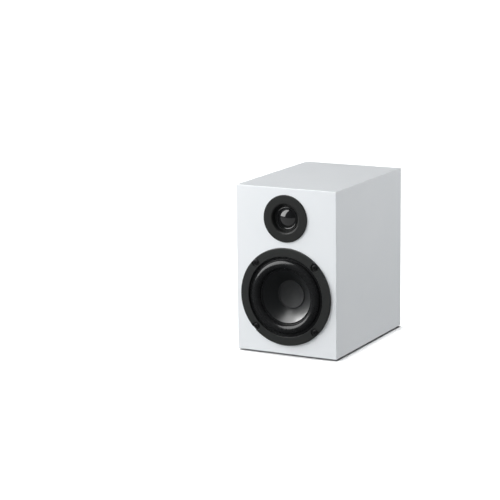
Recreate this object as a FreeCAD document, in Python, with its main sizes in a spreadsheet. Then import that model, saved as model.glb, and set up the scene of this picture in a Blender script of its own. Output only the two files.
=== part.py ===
"""A two-way bookshelf speaker: a ported MDF cabinet, a 130 mm woofer, a 25 mm dome tweeter,
a pair of binding posts and the crossover, wiring and wadding inside.

Frame: millimetres, +Z up, the speaker faces -Y, and the origin is the centre of the footprint
on the surface that the rubber feet stand on.

Drivers, terminals and the port are drawn about their own axis. In such a drawing "across" is a
radius or the distance to the right, and "out" is the height above the face of the board that the
piece is mounted on, so what lies inside the cabinet has a negative "out".
"""
import FreeCAD, Part
import math
import os

import Sketcher

OUT = "parts"
V = FreeCAD.Vector
UPRIGHT = FreeCAD.Rotation()
FACING_FRONT = FreeCAD.Rotation(V(1, 0, 0), 90)
FACING_REAR = FreeCAD.Rotation(V(0, 0, 1), 180) * FACING_FRONT
ON_THE_SKEW = FreeCAD.Rotation(V(0, 0, 1), 45)
SIN_45 = math.sin(math.radians(45))
SIN_60 = math.sin(math.radians(60))

# ---------------------------------------------------------------- the sheet of driving dimensions

DIMENSIONS = [
    ("CABINET",),
    ("cabinet_width", 150, "outside width"),
    ("cabinet_height", 229, "outside height, without the feet"),
    ("cabinet_depth", 216, "outside depth, front face to rear face"),
    ("wall_board", 12, "top, bottom and side boards"),
    ("baffle_board", 16, "front baffle"),
    ("rear_board", 12, "rear panel"),
    ("edge_round", 0.9, "rounding of every outer edge"),
    ("brace_board", 9, "window brace"),
    ("brace_level", 145, "underside of the brace above the cabinet's underside"),
    ("brace_rail", 14, "rails round the brace's two windows"),
    ("foot_height", 2, "rubber foot"),
    ("foot_radius", 7, "rubber foot"),
    ("foot_inset", 17, "foot centre to the cabinet's edge"),
    ("WOOFER",),
    ("woofer_level", 80, "woofer axis above the cabinet's underside"),
    ("woofer_cutout", 58, "radius of the hole in the baffle"),
    ("flange_radius", 67.5, "outer radius of the basket's flange"),
    ("flange_proud", 3.5, "front of the flange above the baffle"),
    ("flange_round", 1.2, "rounding of the flange's rim"),
    ("flange_inner", 55.6, "inner radius of the flange's front face"),
    ("flange_step", 0.5, "chamfer of the flange's inner edge"),
    ("gasket_thick", 0.5, "foam gasket under the flange"),
    ("screw_circle", 62.8, "radius of the circle of woofer screws"),
    ("pocket_radius", 6, "screw pocket in the flange, at the flange's face"),
    ("pocket_deep", 2.1, "screw pocket in the flange"),
    ("pocket_draft", 14, "draft of the screw pocket's wall, degrees"),
    ("basket_wall", 2.6, "casting thickness"),
    ("basket_throat", 50.8, "inner radius under the surround's outer lip"),
    ("basket_neck", 40.2, "inner radius at the spider's shelf"),
    ("shelf_level", 27, "spider shelf behind the baffle's face"),
    ("shelf_inner", 35.5, "inner radius of the spider shelf"),
    ("base_level", 34, "front of the basket's base behind the baffle's face"),
    ("base_inner", 24, "hole in the basket's base"),
    ("window_half_in", 12, "half width of a basket window near the magnet"),
    ("window_half_out", 18, "half width of a basket window near the flange"),
    ("window_web", 0.8, "web left under a basket window"),
    ("roll_centre", 45, "radius of the surround's crest"),
    ("roll_radius", 6.4, "outer radius of the half roll"),
    ("rubber_thick", 0.8, "surround wall"),
    ("lip_thick", 0.9, "surround lips"),
    ("lip_outer", 55, "outer radius of the surround's outer lip"),
    ("lip_inner", 36.4, "inner radius of the surround's inner lip"),
    ("cone_thick", 0.9, "cone paper"),
    ("cone_bow", 150, "radius of the cone's gentle flare"),
    ("cap_radius", 19.6, "dust cap"),
    ("cap_level", 16.2, "dust cap's rim behind the baffle's face"),
    ("cap_dish", 46, "radius of the dished dust cap"),
    ("cap_thick", 0.6, "dust cap"),
    ("cap_rim", 1.3, "width and height of the dust cap's rim"),
    ("cone_neck_level", 22.3, "cone's neck behind the baffle's face"),
    ("cone_collar", 2, "glued collar of the cone round the former"),
    ("former_outer", 12.9, "voice coil former"),
    ("former_thick", 0.3, "voice coil former"),
    ("former_top", 20.8, "front end of the former"),
    ("coil_outer", 13.5, "voice coil winding"),
    ("coil_length", 12, "voice coil winding"),
    ("coil_end", 45.5, "rear end of former and winding"),
    ("spider_thick", 0.5, "spider cloth"),
    ("spider_wave", 1.3, "height of the spider's corrugations"),
    ("spider_neck", 1.8, "spider's collar on the former"),
    ("washer_radius", 36, "front plate of the motor, and its rear plate"),
    ("washer_thick", 6, "front plate and rear plate"),
    ("gap_outer", 14.1, "hole in the front plate"),
    ("magnet_radius", 40, "ferrite ring"),
    ("magnet_hole", 18.5, "ferrite ring"),
    ("magnet_thick", 14, "ferrite ring"),
    ("pole_radius", 12, "pole piece"),
    ("pole_vent", 4, "vent through the pole piece"),
    ("pole_short", 0.5, "pole's front end behind the front plate's front"),
    ("strip_thick", 2, "woofer terminal strip"),
    ("strip_half", 9, "woofer terminal strip, half width"),
    ("strip_length", 8, "woofer terminal strip along the axis"),
    ("lug_half", 2.4, "solder lugs of both drivers, half width"),
    ("lug_thick", 0.6, "solder lugs"),
    ("lug_length", 8, "solder lugs"),
    ("lug_spacing", 5.5, "solder lug from the middle of its strip"),
    ("tinsel_radius", 0.6, "braided leads of the cone"),
    ("SCREWS",),
    ("head_radius", 3.6, "pan head"),
    ("head_height", 1.8, "pan head"),
    ("head_round", 1, "rounding of the pan head"),
    ("shank_radius", 1.9, "screw shank"),
    ("shank_length", 13, "screw shank under the head"),
    ("pilot_play", 0.05, "radial play of a shank in its hole"),
    ("socket_radius", 1.5, "hexagon socket, across its corners, halved"),
    ("socket_deep", 1.2, "hexagon socket"),
    ("small_head", 2.4, "small screw: head radius"),
    ("small_head_height", 1.4, "small screw: head height"),
    ("small_shank", 1.3, "small screw: shank radius"),
    ("small_length", 9, "small screw: shank length"),
    ("TWEETER",),
    ("tweeter_level", 187.3, "tweeter axis above the cabinet's underside"),
    ("face_radius", 32.4, "face ring"),
    ("face_proud", 2, "face ring above the baffle"),
    ("face_round", 0.9, "rounding of the face ring's rim"),
    ("flare_mouth", 21.4, "radius where the flare starts"),
    ("flare_round", 2.4, "rounding of the flare"),
    ("flare_throat", 18.3, "inner end of the flare"),
    ("flare_deep", 4.4, "inner end of the flare behind the baffle's face"),
    ("sleeve_outer", 20, "face ring's sleeve"),
    ("counterbore", 31.2, "seat of the chassis in the baffle"),
    ("counterbore_deep", 3, "seat of the chassis in the baffle"),
    ("chassis_flange", 31, "chassis flange radius"),
    ("chassis_sunk", 0.7, "chassis flange below the baffle's face"),
    ("chassis_neck", 25, "chassis body radius"),
    ("chassis_hole", 25.4, "through hole in the baffle"),
    ("chassis_bore", 20.1, "chassis bore round the sleeve"),
    ("chassis_shelf", 17.5, "hole in the chassis's shelf"),
    ("chassis_end", 8, "rear of the chassis behind the baffle's face"),
    ("tweeter_screw_circle", 28.1, "radius of the circle of chassis screws"),
    ("carrier_inner", 16, "diaphragm carrier ring"),
    ("carrier_outer", 19.8, "diaphragm carrier ring"),
    ("carrier_thick", 0.6, "diaphragm carrier ring"),
    ("carrier_bead", 0.8, "bead round the diaphragm, width and height"),
    ("dome_radius", 13.1, "dome"),
    ("dome_level", 4.7, "dome's edge behind the baffle's face"),
    ("dome_sphere", 19.6, "radius of the dome's surface"),
    ("dome_thick", 0.3, "silk"),
    ("dome_skirt", 0.9, "dome's skirt round the former"),
    ("dome_coil_thick", 0.5, "tweeter winding over the dome's former"),
    ("dome_coil_end", 11.2, "rear end of the tweeter's coil"),
    ("small_plate", 24, "tweeter front plate, rear plate"),
    ("small_plate_thick", 3, "tweeter front plate"),
    ("small_gap", 13.7, "hole in the tweeter's front plate"),
    ("small_magnet", 24.5, "tweeter magnet"),
    ("small_magnet_hole", 16.5, "tweeter magnet"),
    ("small_magnet_thick", 8, "tweeter magnet"),
    ("small_pole", 12, "tweeter pole"),
    ("small_vent", 4, "hole through the tweeter's pole"),
    ("small_yoke_thick", 3.5, "tweeter rear plate"),
    ("chamber_radius", 21, "rear chamber"),
    ("chamber_length", 15.5, "rear chamber"),
    ("chamber_wall", 1.8, "rear chamber"),
    ("TERMINALS",),
    ("terminal_level", 62, "terminal cup above the cabinet's underside"),
    ("cup_half_wide", 42, "cup flange, half width"),
    ("cup_half_high", 33, "cup flange, half height"),
    ("cup_corner", 7, "cup flange, corner rounding"),
    ("cup_proud", 2.5, "cup flange above the rear panel"),
    ("tub_half_wide", 29, "recess, half width"),
    ("tub_half_high", 21, "recess, half height"),
    ("tub_corner", 6, "recess, corner rounding"),
    ("tub_deep", 12, "floor of the recess behind the rear face"),
    ("tub_wall", 2, "recess walls and floor"),
    ("tub_play", 0.5, "recess in the panel's cut-out"),
    ("cup_screw_wide", 35.5, "cup screws, half spacing"),
    ("cup_screw_high", 27, "cup screws, half spacing"),
    ("post_spacing", 19, "between the two posts"),
    ("stud_radius", 3, "post stud"),
    ("stud_front", 3, "end of the stud beyond the rear face"),
    ("stud_tail", 15, "stud inside the cabinet"),
    ("stud_flange", 6.2, "post's fixed flange"),
    ("stud_flange_thick", 2, "post's fixed flange"),
    ("banana_radius", 2.05, "socket for a 4 mm plug"),
    ("banana_deep", 16, "socket for a 4 mm plug"),
    ("wire_hole", 1.2, "hole for bare wire across the stud"),
    ("thread_play", 0.05, "running clearance on the stud"),
    ("collar_thick", 1.6, "clamp collar"),
    ("insert_outer", 4.4, "brass core of the knob"),
    ("insert_mouth", 2.7, "opening at the knob's end"),
    ("insert_lip", 2.6, "length of that opening"),
    ("knob_radius", 6.6, "knob"),
    ("knob_length", 14.4, "knob"),
    ("knob_round", 1.2, "rounding of the knob's end"),
    ("flute_radius", 0.8, "grip flutes"),
    ("nut_radius", 5.5, "nut, across corners, halved"),
    ("nut_thick", 3, "nut"),
    ("PORT",),
    ("port_level", 180, "port axis above the cabinet's underside"),
    ("port_bore", 18, "inner radius of the port"),
    ("port_wall", 2, "port tube"),
    ("port_length", 96, "port, rear face to its inner end"),
    ("port_flange", 31, "flange of the flared mouth"),
    ("port_proud", 2, "flange above the rear panel"),
    ("port_flare", 9, "radius of the flare"),
    ("port_sleeve", 26, "length of the mouth piece inside the cabinet"),
    ("port_hole", 22.3, "hole in the rear panel"),
    ("port_overlap", 14, "tube pushed over the mouth piece"),
    ("CROSSOVER",),
    ("board_half_wide", 44, "circuit board"),
    ("board_near", 98, "board's front edge behind the cabinet's front face"),
    ("board_far", 174, "board's rear edge behind the cabinet's front face"),
    ("board_thick", 1.6, "circuit board"),
    ("spacer_height", 6, "spacers under the board"),
    ("spacer_radius", 3.4, "spacers under the board"),
    ("board_margin", 5, "board screws from the board's edges"),
    ("choke_radius", 19, "woofer choke"),
    ("choke_height", 20, "woofer choke"),
    ("choke_core", 8, "woofer choke's core tube"),
    ("choke_flange", 1.5, "woofer choke's bobbin flanges"),
    ("coil_small", 11, "tweeter choke"),
    ("coil_small_core", 6, "tweeter choke's hole"),
    ("coil_small_height", 10, "tweeter choke"),
    ("capacitor_radius", 8, "film capacitors"),
    ("capacitor_length", 28, "film capacitors"),
    ("resistor_side", 9, "ceramic resistor"),
    ("resistor_length", 36, "ceramic resistor"),
    ("WIRING AND WADDING",),
    ("wire_radius", 1.1, "insulated wire"),
    ("clip_width", 4, "wire clip"),
    ("clip_height", 5, "wire clip"),
    ("clip_lift", 1.7, "wire in its clip above the bottom board"),
    ("pad_thick", 11, "side wadding"),
    ("top_pad_thick", 9, "top wadding"),
    ("pad_near", 72, "front edge of the wadding behind the cabinet's front face"),
    ("pad_gap", 0.6, "wadding clear of its neighbours"),
]


class Size:
    """A length worked out from the sheet: its number, and the expression that binds it there."""

    def __init__(self, number, text):
        self.number = number
        self.text = text

    def __add__(self, other):
        other = as_size(other)
        return Size(self.number + other.number, f"({self.text} + {other.text})")

    def __sub__(self, other):
        other = as_size(other)
        return Size(self.number - other.number, f"({self.text} - {other.text})")

    def __mul__(self, other):
        other = as_size(other)
        return Size(self.number * other.number, f"({self.text} * {other.text})")

    def __truediv__(self, other):
        other = as_size(other)
        return Size(self.number / other.number, f"({self.text} / {other.text})")

    def __neg__(self):
        return Size(-self.number, f"(0 - {self.text})")


def as_size(value):
    return value if isinstance(value, Size) else Size(float(value), repr(float(value)))


ZERO = as_size(0)

doc = FreeCAD.newDocument("bookshelf_speaker")
sheet = doc.addObject("Spreadsheet::Sheet", "Sizes")


class Sheet:
    """The sheet's cells as attributes: d.cabinet_width is a Size bound to that cell."""


d = Sheet()
for row, entry in enumerate(DIMENSIONS, start=1):
    sheet.set(f"A{row}", entry[0])
    if len(entry) == 3:
        alias, number, note = entry
        sheet.set(f"B{row}", str(number))
        sheet.setAlias(f"B{row}", alias)
        sheet.set(f"C{row}", note)
        setattr(d, alias, Size(float(number), f"Sizes.{alias}"))
doc.recompute()

# ---------------------------------------------------------------- drawing helpers

kept = []


def keep(piece, label):
    """Names a finished sub-part, so that it is checked and written at the end."""
    piece.Label = label
    kept.append(piece)
    return piece


def bind(piece, path, size):
    """Ties one property of a piece to the sheet."""
    piece.setExpression(path, as_size(size).text)


def place(piece, x=0, y=0, z=0, rotation=UPRIGHT):
    """Sets a piece's place, each coordinate bound to the sheet."""
    x, y, z = as_size(x), as_size(y), as_size(z)
    piece.Placement = FreeCAD.Placement(V(x.number, y.number, z.number), rotation)
    for axis, size in (("x", x), ("y", y), ("z", z)):
        bind(piece, f"Placement.Base.{axis}", size)
    return piece


def new_body(name):
    body = doc.addObject("PartDesign::Body", name)
    body.AllowCompound = True
    return body


def datum(body, role):
    return next(f for f in body.Origin.OriginFeatures if f.Role == role)


def new_sketch(body, role="XY_Plane", lift=0, across=0):
    """A sketch on one of the body's own planes, lifted along its normal or moved across it."""
    sketch = body.newObject("Sketcher::SketchObject", body.Name + "_sketch")
    sketch.AttachmentSupport = (datum(body, role), [""])
    sketch.MapMode = "FlatFace"
    lift, across = as_size(lift), as_size(across)
    sketch.AttachmentOffset = FreeCAD.Placement(V(across.number, 0, lift.number), UPRIGHT)
    bind(sketch, "AttachmentOffset.Base.x", across)
    bind(sketch, "AttachmentOffset.Base.z", lift)
    return sketch


def fix_point(sketch, shape, point, x, y):
    """Ties a point of a sketch to its two coordinates."""
    for size, kind, axis in ((x, "DistanceX", -2), (y, "DistanceY", -1)):
        if size.number == 0:
            sketch.addConstraint(Sketcher.Constraint("PointOnObject", shape, point, axis))
        else:
            rule = Sketcher.Constraint(kind, -1, 1, shape, point, size.number)
            index = sketch.addConstraint(rule)
            bind(sketch, f"Constraints[{index}]", size)


def arc_edge(start, end, radius):
    """An arc from start to end: radius above 0 turns to the left, below 0 to the right."""
    chord = end - start
    left = V(-chord.y, chord.x, 0) / chord.Length
    away = math.sqrt(max(radius * radius - chord.Length**2 / 4, 0))
    centre = (start + end) / 2 + left * (away if radius > 0 else -away)
    first, last = (start, end) if radius > 0 else (end, start)
    angles = [math.atan2(p.y - centre.y, p.x - centre.x) for p in (first, last)]
    if angles[1] < angles[0]:
        angles[1] += 2 * math.pi
    return Part.ArcOfCircle(Part.Circle(centre, V(0, 0, 1), abs(radius)), *angles)


def outline(sketch, *corners):
    """Draws a closed outline. A corner is (x, y), or (x, y, radius) where an arc leaves it."""
    corners = [tuple(as_size(value) for value in corner) for corner in corners]
    ends = []
    for here, there in zip(corners, corners[1:] + corners[:1]):
        start, end = (V(c[0].number, c[1].number, 0) for c in (here, there))
        if len(here) == 2:
            shape = sketch.addGeometry(Part.LineSegment(start, end), False)
            ends.append((shape, 1, 2))
        else:
            radius = here[2].number
            shape = sketch.addGeometry(arc_edge(start, end, radius), False)
            ends.append((shape, 1, 2) if radius > 0 else (shape, 2, 1))
    for (shape, _, end), (after, start, _) in zip(ends, ends[1:] + ends[:1]):
        sketch.addConstraint(Sketcher.Constraint("Coincident", shape, end, after, start))
    for (shape, start, _), corner in zip(ends, corners):
        fix_point(sketch, shape, start, corner[0], corner[1])
    for (shape, _, _), here, there in zip(ends, corners, corners[1:] + corners[:1]):
        if len(here) == 3:
            fix_arc(sketch, shape, here, there)


def fix_arc(sketch, shape, here, there):
    """Ties an arc to its radius, or a half circle to the line through its two ends."""
    chord = math.hypot(here[0].number - there[0].number, here[1].number - there[1].number)
    if abs(chord - 2 * abs(here[2].number)) > 1e-6:
        size = here[2] if here[2].number > 0 else -here[2]
        index = sketch.addConstraint(Sketcher.Constraint("Radius", shape, size.number))
        bind(sketch, f"Constraints[{index}]", size)
    elif abs(here[1].number - there[1].number) < 1e-6:
        sketch.addConstraint(Sketcher.Constraint("Horizontal", shape, 3, shape, 1))
    else:
        sketch.addConstraint(Sketcher.Constraint("Vertical", shape, 3, shape, 1))


def circle(sketch, radius, x=0, y=0):
    x, y, radius = as_size(x), as_size(y), as_size(radius)
    centre = V(x.number, y.number, 0)
    shape = sketch.addGeometry(Part.Circle(centre, V(0, 0, 1), radius.number), False)
    fix_point(sketch, shape, 3, x, y)
    index = sketch.addConstraint(Sketcher.Constraint("Radius", shape, radius.number))
    bind(sketch, f"Constraints[{index}]", radius)


def rounded_rectangle(sketch, half_x, half_y, corner):
    """A rectangle about the sketch's origin with rounded corners."""
    straight_x, straight_y = half_x - corner, half_y - corner
    outline(
        sketch,
        (straight_x, -half_y, corner),
        (half_x, -straight_y),
        (half_x, straight_y, corner),
        (straight_x, half_y),
        (-straight_x, half_y, corner),
        (-half_x, straight_y),
        (-half_x, -straight_y, corner),
        (-straight_x, -half_y),
    )


def rectangle(sketch, low_x, low_y, high_x, high_y):
    outline(sketch, (low_x, low_y), (high_x, low_y), (high_x, high_y), (low_x, high_y))


def revolve(body, *corners, across=0):
    """Turns an outline of (across, out) corners about the body's Z axis, or one moved across."""
    sketch = new_sketch(body, "XZ_Plane", across=across)
    outline(sketch, *corners)
    turn = body.newObject("PartDesign::Revolution", body.Name + "_turn")
    turn.Profile = sketch
    turn.ReferenceAxis = (sketch, ["V_Axis"])
    turn.Angle = 360
    return turn


def pad(body, sketch, length):
    feature = body.newObject("PartDesign::Pad", body.Name + "_pad")
    feature.Profile = sketch
    bind(feature, "Length", length)
    return feature


def pocket(body, sketch, deep):
    """Cuts a sketch downwards, against its own normal."""
    feature = body.newObject("PartDesign::Pocket", body.Name + "_pocket")
    feature.Profile = sketch
    bind(feature, "Length", deep)
    return feature


def around(body, features, count):
    """Repeats features evenly about the body's Z axis."""
    pattern = body.newObject("PartDesign::PolarPattern", body.Name + "_around")
    pattern.Originals = features
    pattern.Axis = (datum(body, "Z_Axis"), [""])
    pattern.Angle = 360
    pattern.Occurrences = count
    body.Tip = pattern
    return pattern


def mirror(body, features, role):
    pattern = body.newObject("PartDesign::Mirrored", body.Name + "_mirror")
    pattern.Originals = features
    pattern.MirrorPlane = (datum(body, role), [""])
    body.Tip = pattern
    return pattern


def both_ways(body, features):
    """Repeats features in the four corners, by a mirror each way."""
    pattern = body.newObject("PartDesign::MultiTransform", body.Name + "_corners")
    ways = []
    for role in ("YZ_Plane", "XZ_Plane"):
        way = body.newObject("PartDesign::Mirrored", body.Name + "_mirror")
        way.MirrorPlane = (datum(body, role), [""])
        ways.append(way)
    pattern.Originals = features
    pattern.Transformations = ways
    body.Tip = pattern
    return pattern


def turned(label, *corners):
    """A sub-part that is one turned outline."""
    body = new_body(label)
    revolve(body, *corners)
    return keep(body, label)


def ring(label, inner, outer, low, high):
    """A plain turned ring, or a disc where inner is 0."""
    return turned(label, (inner, low), (outer, low), (outer, high), (inner, high))


def block(label, low, high):
    """A Part::Box between two corners, each coordinate bound to the sheet."""
    piece = doc.addObject("Part::Box", label)
    for side, one, other in zip(("Length", "Width", "Height"), low, high):
        bind(piece, side, as_size(other) - one)
    return place(piece, *low)


def shape_piece(label, shape):
    piece = doc.addObject("Part::Feature", label)
    piece.Shape = shape
    return keep(piece, label)


# ---------------------------------------------------------------- where things are in the frame

rear_overhang = d.knob_length - (d.tub_deep - d.stud_flange_thick - d.collar_thick)
front_y = (d.roll_radius - d.cabinet_depth - rear_overhang) / 2
rear_y = front_y + d.cabinet_depth
half_width = d.cabinet_width / 2
inner_half = half_width - d.wall_board
floor_z = d.foot_height + d.wall_board
ceiling_z = d.foot_height + d.cabinet_height - d.wall_board
woofer_z = d.foot_height + d.woofer_level
tweeter_z = d.foot_height + d.tweeter_level
terminal_z = d.foot_height + d.terminal_level
port_z = d.foot_height + d.port_level


def on_woofer(piece, spin=UPRIGHT):
    return place(piece, 0, front_y, woofer_z, FACING_FRONT * spin)


def on_tweeter(piece, spin=UPRIGHT):
    return place(piece, 0, front_y, tweeter_z, FACING_FRONT * spin)


def on_terminals(piece, x=0):
    return place(piece, x, rear_y, terminal_z, FACING_REAR)


def on_port(piece):
    return place(piece, 0, rear_y, port_z, FACING_REAR)


# ---------------------------------------------------------------- cabinet


def cabinet_blank():
    """The outside of the whole cabinet with every edge rounded, which trims its boards."""
    body = new_body("cabinet_blank")
    sketch = new_sketch(body)
    rectangle(sketch, -half_width, 0, half_width, d.cabinet_depth)
    solid = pad(body, sketch, d.cabinet_height)
    doc.recompute()
    rounding = body.newObject("PartDesign::Fillet", "cabinet_blank_rounding")
    rounding.Base = (solid, [f"Edge{i + 1}" for i in range(len(solid.Shape.Edges))])
    bind(rounding, "Radius", d.edge_round)
    return place(body, 0, front_y, d.foot_height)


def trimmed(blank, region, label):
    """A board: the part of the blank that lies in its region."""
    board = doc.addObject("Part::Common", label)
    board.Base = blank
    board.Tool = region
    return keep(board, label)


def mitred_board(blank, label, length, x, z, lean):
    """A wall board with both ends mitred: a wedge, wide outside and narrower inside."""
    region = doc.addObject("Part::Wedge", label + "_region")
    walls = d.wall_board
    sizes = {
        "Xmin": -length / 2,
        "Xmax": length / 2,
        "X2min": walls - length / 2,
        "X2max": length / 2 - walls,
        "Ymin": ZERO,
        "Ymax": walls,
        "Zmin": d.baffle_board,
        "Zmax": d.cabinet_depth,
        "Z2min": d.baffle_board,
        "Z2max": d.cabinet_depth,
    }
    for side, size in sizes.items():
        bind(region, side, size)
    place(region, x, front_y, z, FreeCAD.Rotation(V(0, 1, 0), lean) * LAID_BACK)
    return trimmed(blank, region, label)


LAID_BACK = FreeCAD.Rotation(V(1, 0, 0), -90)


def baffle(blank):
    """The front board: woofer cut-out, stepped tweeter seat, and pilot holes for both drivers."""
    body = new_body("baffle_region")
    back = -d.baffle_board
    low, high = -d.woofer_level, d.cabinet_height - d.woofer_level
    plate = new_sketch(body, lift=back)
    rectangle(plate, -half_width, low, half_width, high)
    circle(plate, d.woofer_cutout)
    pad(body, plate, d.baffle_board)
    rise = d.tweeter_level - d.woofer_level
    seat = new_sketch(body)
    circle(seat, d.counterbore, 0, rise)
    pocket(body, seat, d.counterbore_deep)
    through = new_sketch(body)
    circle(through, d.chassis_hole, 0, rise)
    pocket(body, through, d.baffle_board)
    holes = new_sketch(body)
    spread = d.screw_circle * SIN_45
    for x in (-spread, spread):
        for y in (-spread, spread):
            circle(holes, d.shank_radius + d.pilot_play, x, y)
    pocket(body, holes, d.baffle_board - d.gasket_thick * 2)
    small_holes = new_sketch(body, lift=-d.counterbore_deep)
    spread = d.tweeter_screw_circle * SIN_45
    for x in (-spread, spread):
        for y in (-spread, spread):
            circle(small_holes, d.small_shank + d.pilot_play, x, rise + y)
    pocket(body, small_holes, d.small_length)
    on_woofer(body)
    return trimmed(blank, body, "front_baffle")


def rear_panel(blank):
    """The rear board inside the walls, with its port hole, terminal cut-out and pilot holes."""
    body = new_body("rear_region")
    low = d.wall_board - d.terminal_level
    high = d.cabinet_height - d.wall_board - d.terminal_level
    plate = new_sketch(body, lift=-d.rear_board)
    rectangle(plate, -inner_half, low, inner_half, high)
    circle(plate, d.port_hole, 0, d.port_level - d.terminal_level)
    pad(body, plate, d.rear_board)
    cut_out = new_sketch(body)
    grow = d.tub_wall + d.tub_play
    rounded_rectangle(
        cut_out, d.tub_half_wide + grow, d.tub_half_high + grow, d.tub_corner + grow
    )
    pocket(body, cut_out, d.rear_board)
    holes = new_sketch(body)
    for x in (-d.cup_screw_wide, d.cup_screw_wide):
        for y in (-d.cup_screw_high, d.cup_screw_high):
            circle(holes, d.small_shank + d.pilot_play, x, y)
    pocket(body, holes, d.small_length)
    on_terminals(body)
    return trimmed(blank, body, "rear_panel")


def window_brace():
    """A shelf between the two drivers with two windows, so that air and wires pass."""
    body = new_body("window_brace")
    near, far = d.baffle_board, d.cabinet_depth - d.rear_board
    plate = new_sketch(body)
    rectangle(plate, -inner_half, near, inner_half, far)
    middle = (near + far) / 2
    window_half = inner_half - d.brace_rail
    half_rail = d.brace_rail / 2
    rectangle(plate, -window_half, near + d.brace_rail, window_half, middle - half_rail)
    rectangle(plate, -window_half, middle + half_rail, window_half, far - d.brace_rail)
    pad(body, plate, d.brace_board)
    place(body, 0, front_y, d.foot_height + d.brace_level)
    return keep(body, "window_brace")


def rubber_feet():
    """Four domed pads stuck under the cabinet."""
    body = new_body("rubber_feet")
    soft_edge = d.foot_height / 2
    foot = revolve(
        body,
        (0, 0),
        (d.foot_radius - soft_edge, 0, soft_edge),
        (d.foot_radius, soft_edge),
        (d.foot_radius, d.foot_height),
        (0, d.foot_height),
        across=half_width - d.foot_inset,
    )
    sketch = foot.Profile[0]
    forward = d.cabinet_depth / 2 - d.foot_inset
    bind(sketch, "AttachmentOffset.Base.z", -forward)
    both_ways(body, [foot])
    place(body, 0, front_y + d.cabinet_depth / 2, 0)
    return keep(body, "rubber_feet")


def cabinet():
    blank = cabinet_blank()
    bottom, top = d.foot_height, d.foot_height + d.cabinet_height
    middle = d.foot_height + d.cabinet_height / 2
    mitred_board(blank, "bottom_board", d.cabinet_width, ZERO, bottom, 180)
    mitred_board(blank, "top_board", d.cabinet_width, ZERO, top, 0)
    mitred_board(blank, "left_board", d.cabinet_height, -half_width, middle, -90)
    mitred_board(blank, "right_board", d.cabinet_height, half_width, middle, 90)
    baffle(blank)
    rear_panel(blank)
    window_brace()
    rubber_feet()


# ---------------------------------------------------------------- screws


def pan_screw(body, spread, seat, head=None, length=None):
    """A pan-head screw with a hexagon socket, standing off the body's axis."""
    radius, height, shank, rounding = head or (
        d.head_radius,
        d.head_height,
        d.shank_radius,
        d.head_round,
    )
    seat = as_size(seat)
    tip = seat - (length or d.shank_length)
    turn = revolve(
        body,
        (0, tip - shank),
        (shank, tip),
        (shank, seat),
        (radius, seat),
        (radius, seat + height - rounding, rounding),
        (radius - rounding, seat + height),
        (0, seat + height),
        across=spread,
    )
    socket = new_sketch(body, lift=seat + height, across=spread)
    corner = d.socket_radius
    side = corner * SIN_60
    half = corner / 2
    outline(
        socket, (corner, 0), (half, side), (-half, side), (-corner, 0), (-half, -side), (half, -side)
    )
    return [turn, pocket(body, socket, d.socket_deep)]


def small_head():
    return (d.small_head, d.small_head_height, d.small_shank, d.small_head_height / 2)


# ---------------------------------------------------------------- woofer


def woofer_basket():
    """The cast frame: rimmed flange with four screw pockets, ribbed cone, shelf and base."""
    body = new_body("woofer_basket")
    wall = d.basket_wall
    rim, front = d.flange_radius, d.flange_proud
    seat = -d.lip_thick
    base = -d.base_level
    revolve(
        body,
        (rim, d.gasket_thick),
        (rim, front - d.flange_round, d.flange_round),
        (rim - d.flange_round, front),
        (d.flange_inner + d.flange_step, front),
        (d.flange_inner, front - d.flange_step),
        (d.flange_inner, seat),
        (d.basket_throat, seat),
        (d.basket_throat, seat - wall),
        (d.basket_neck, -d.shelf_level + wall),
        (d.basket_neck, -d.shelf_level),
        (d.shelf_inner, -d.shelf_level),
        (d.shelf_inner, base),
        (d.base_inner, base),
        (d.base_inner, base - wall),
        (d.basket_neck + wall, base - wall),
        (d.basket_neck + wall, -d.shelf_level + wall),
        (d.basket_throat + wall, seat - wall - d.flange_step),
        (d.woofer_cutout - d.gasket_thick, seat - wall - d.flange_step),
        (d.woofer_cutout - d.gasket_thick, d.gasket_thick),
    )
    window = new_sketch(body, lift=seat - wall * 2)
    low, high = d.basket_neck + wall + d.window_web, d.basket_throat + wall
    outline(
        window,
        (-d.window_half_in, low),
        (d.window_half_in, low),
        (d.window_half_out, high),
        (-d.window_half_out, high),
    )
    cut = pocket(body, window, d.shelf_level - wall * 2)
    around(body, [cut], 6)
    recess = new_sketch(body, lift=front)
    spot = d.screw_circle * SIN_45
    circle(recess, d.pocket_radius, spot, spot)
    cut = pocket(body, recess, d.pocket_deep)
    bind(cut, "TaperAngle", -d.pocket_draft)
    hole = new_sketch(body, lift=front)
    circle(hole, d.shank_radius + d.pilot_play * 4, spot, spot)
    drilled = pocket(body, hole, d.flange_proud)
    around(body, [cut, drilled], 4)
    return keep(on_woofer(body), "woofer_basket")


def woofer_gasket():
    body = new_body("woofer_gasket")
    sketch = new_sketch(body)
    circle(sketch, d.flange_radius - d.flange_round)
    circle(sketch, d.woofer_cutout)
    spread = d.screw_circle * SIN_45
    for x in (-spread, spread):
        for y in (-spread, spread):
            circle(sketch, d.shank_radius + d.pilot_play * 4, x, y)
    pad(body, sketch, d.gasket_thick)
    return keep(on_woofer(body), "woofer_gasket")


def woofer_screws():
    body = new_body("woofer_screws")
    around(body, pan_screw(body, d.screw_circle, d.flange_proud - d.pocket_deep), 4)
    return keep(on_woofer(body, ON_THE_SKEW), "woofer_screws")


def woofer_surround():
    """The rubber half roll with a flat lip on the basket and one on the cone."""
    roll, inside = d.roll_radius, d.roll_radius - d.rubber_thick
    crest, lip = d.roll_centre, -d.lip_thick
    body = turned(
        "woofer_surround",
        (d.lip_outer, lip),
        (d.lip_outer, 0),
        (crest + roll, 0, roll),
        (crest - roll, 0),
        (d.lip_inner, 0),
        (d.lip_inner, lip),
        (crest - inside, lip),
        (crest - inside, 0, -inside),
        (crest + inside, 0),
        (crest + inside, lip),
    )
    return on_woofer(body)


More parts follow.
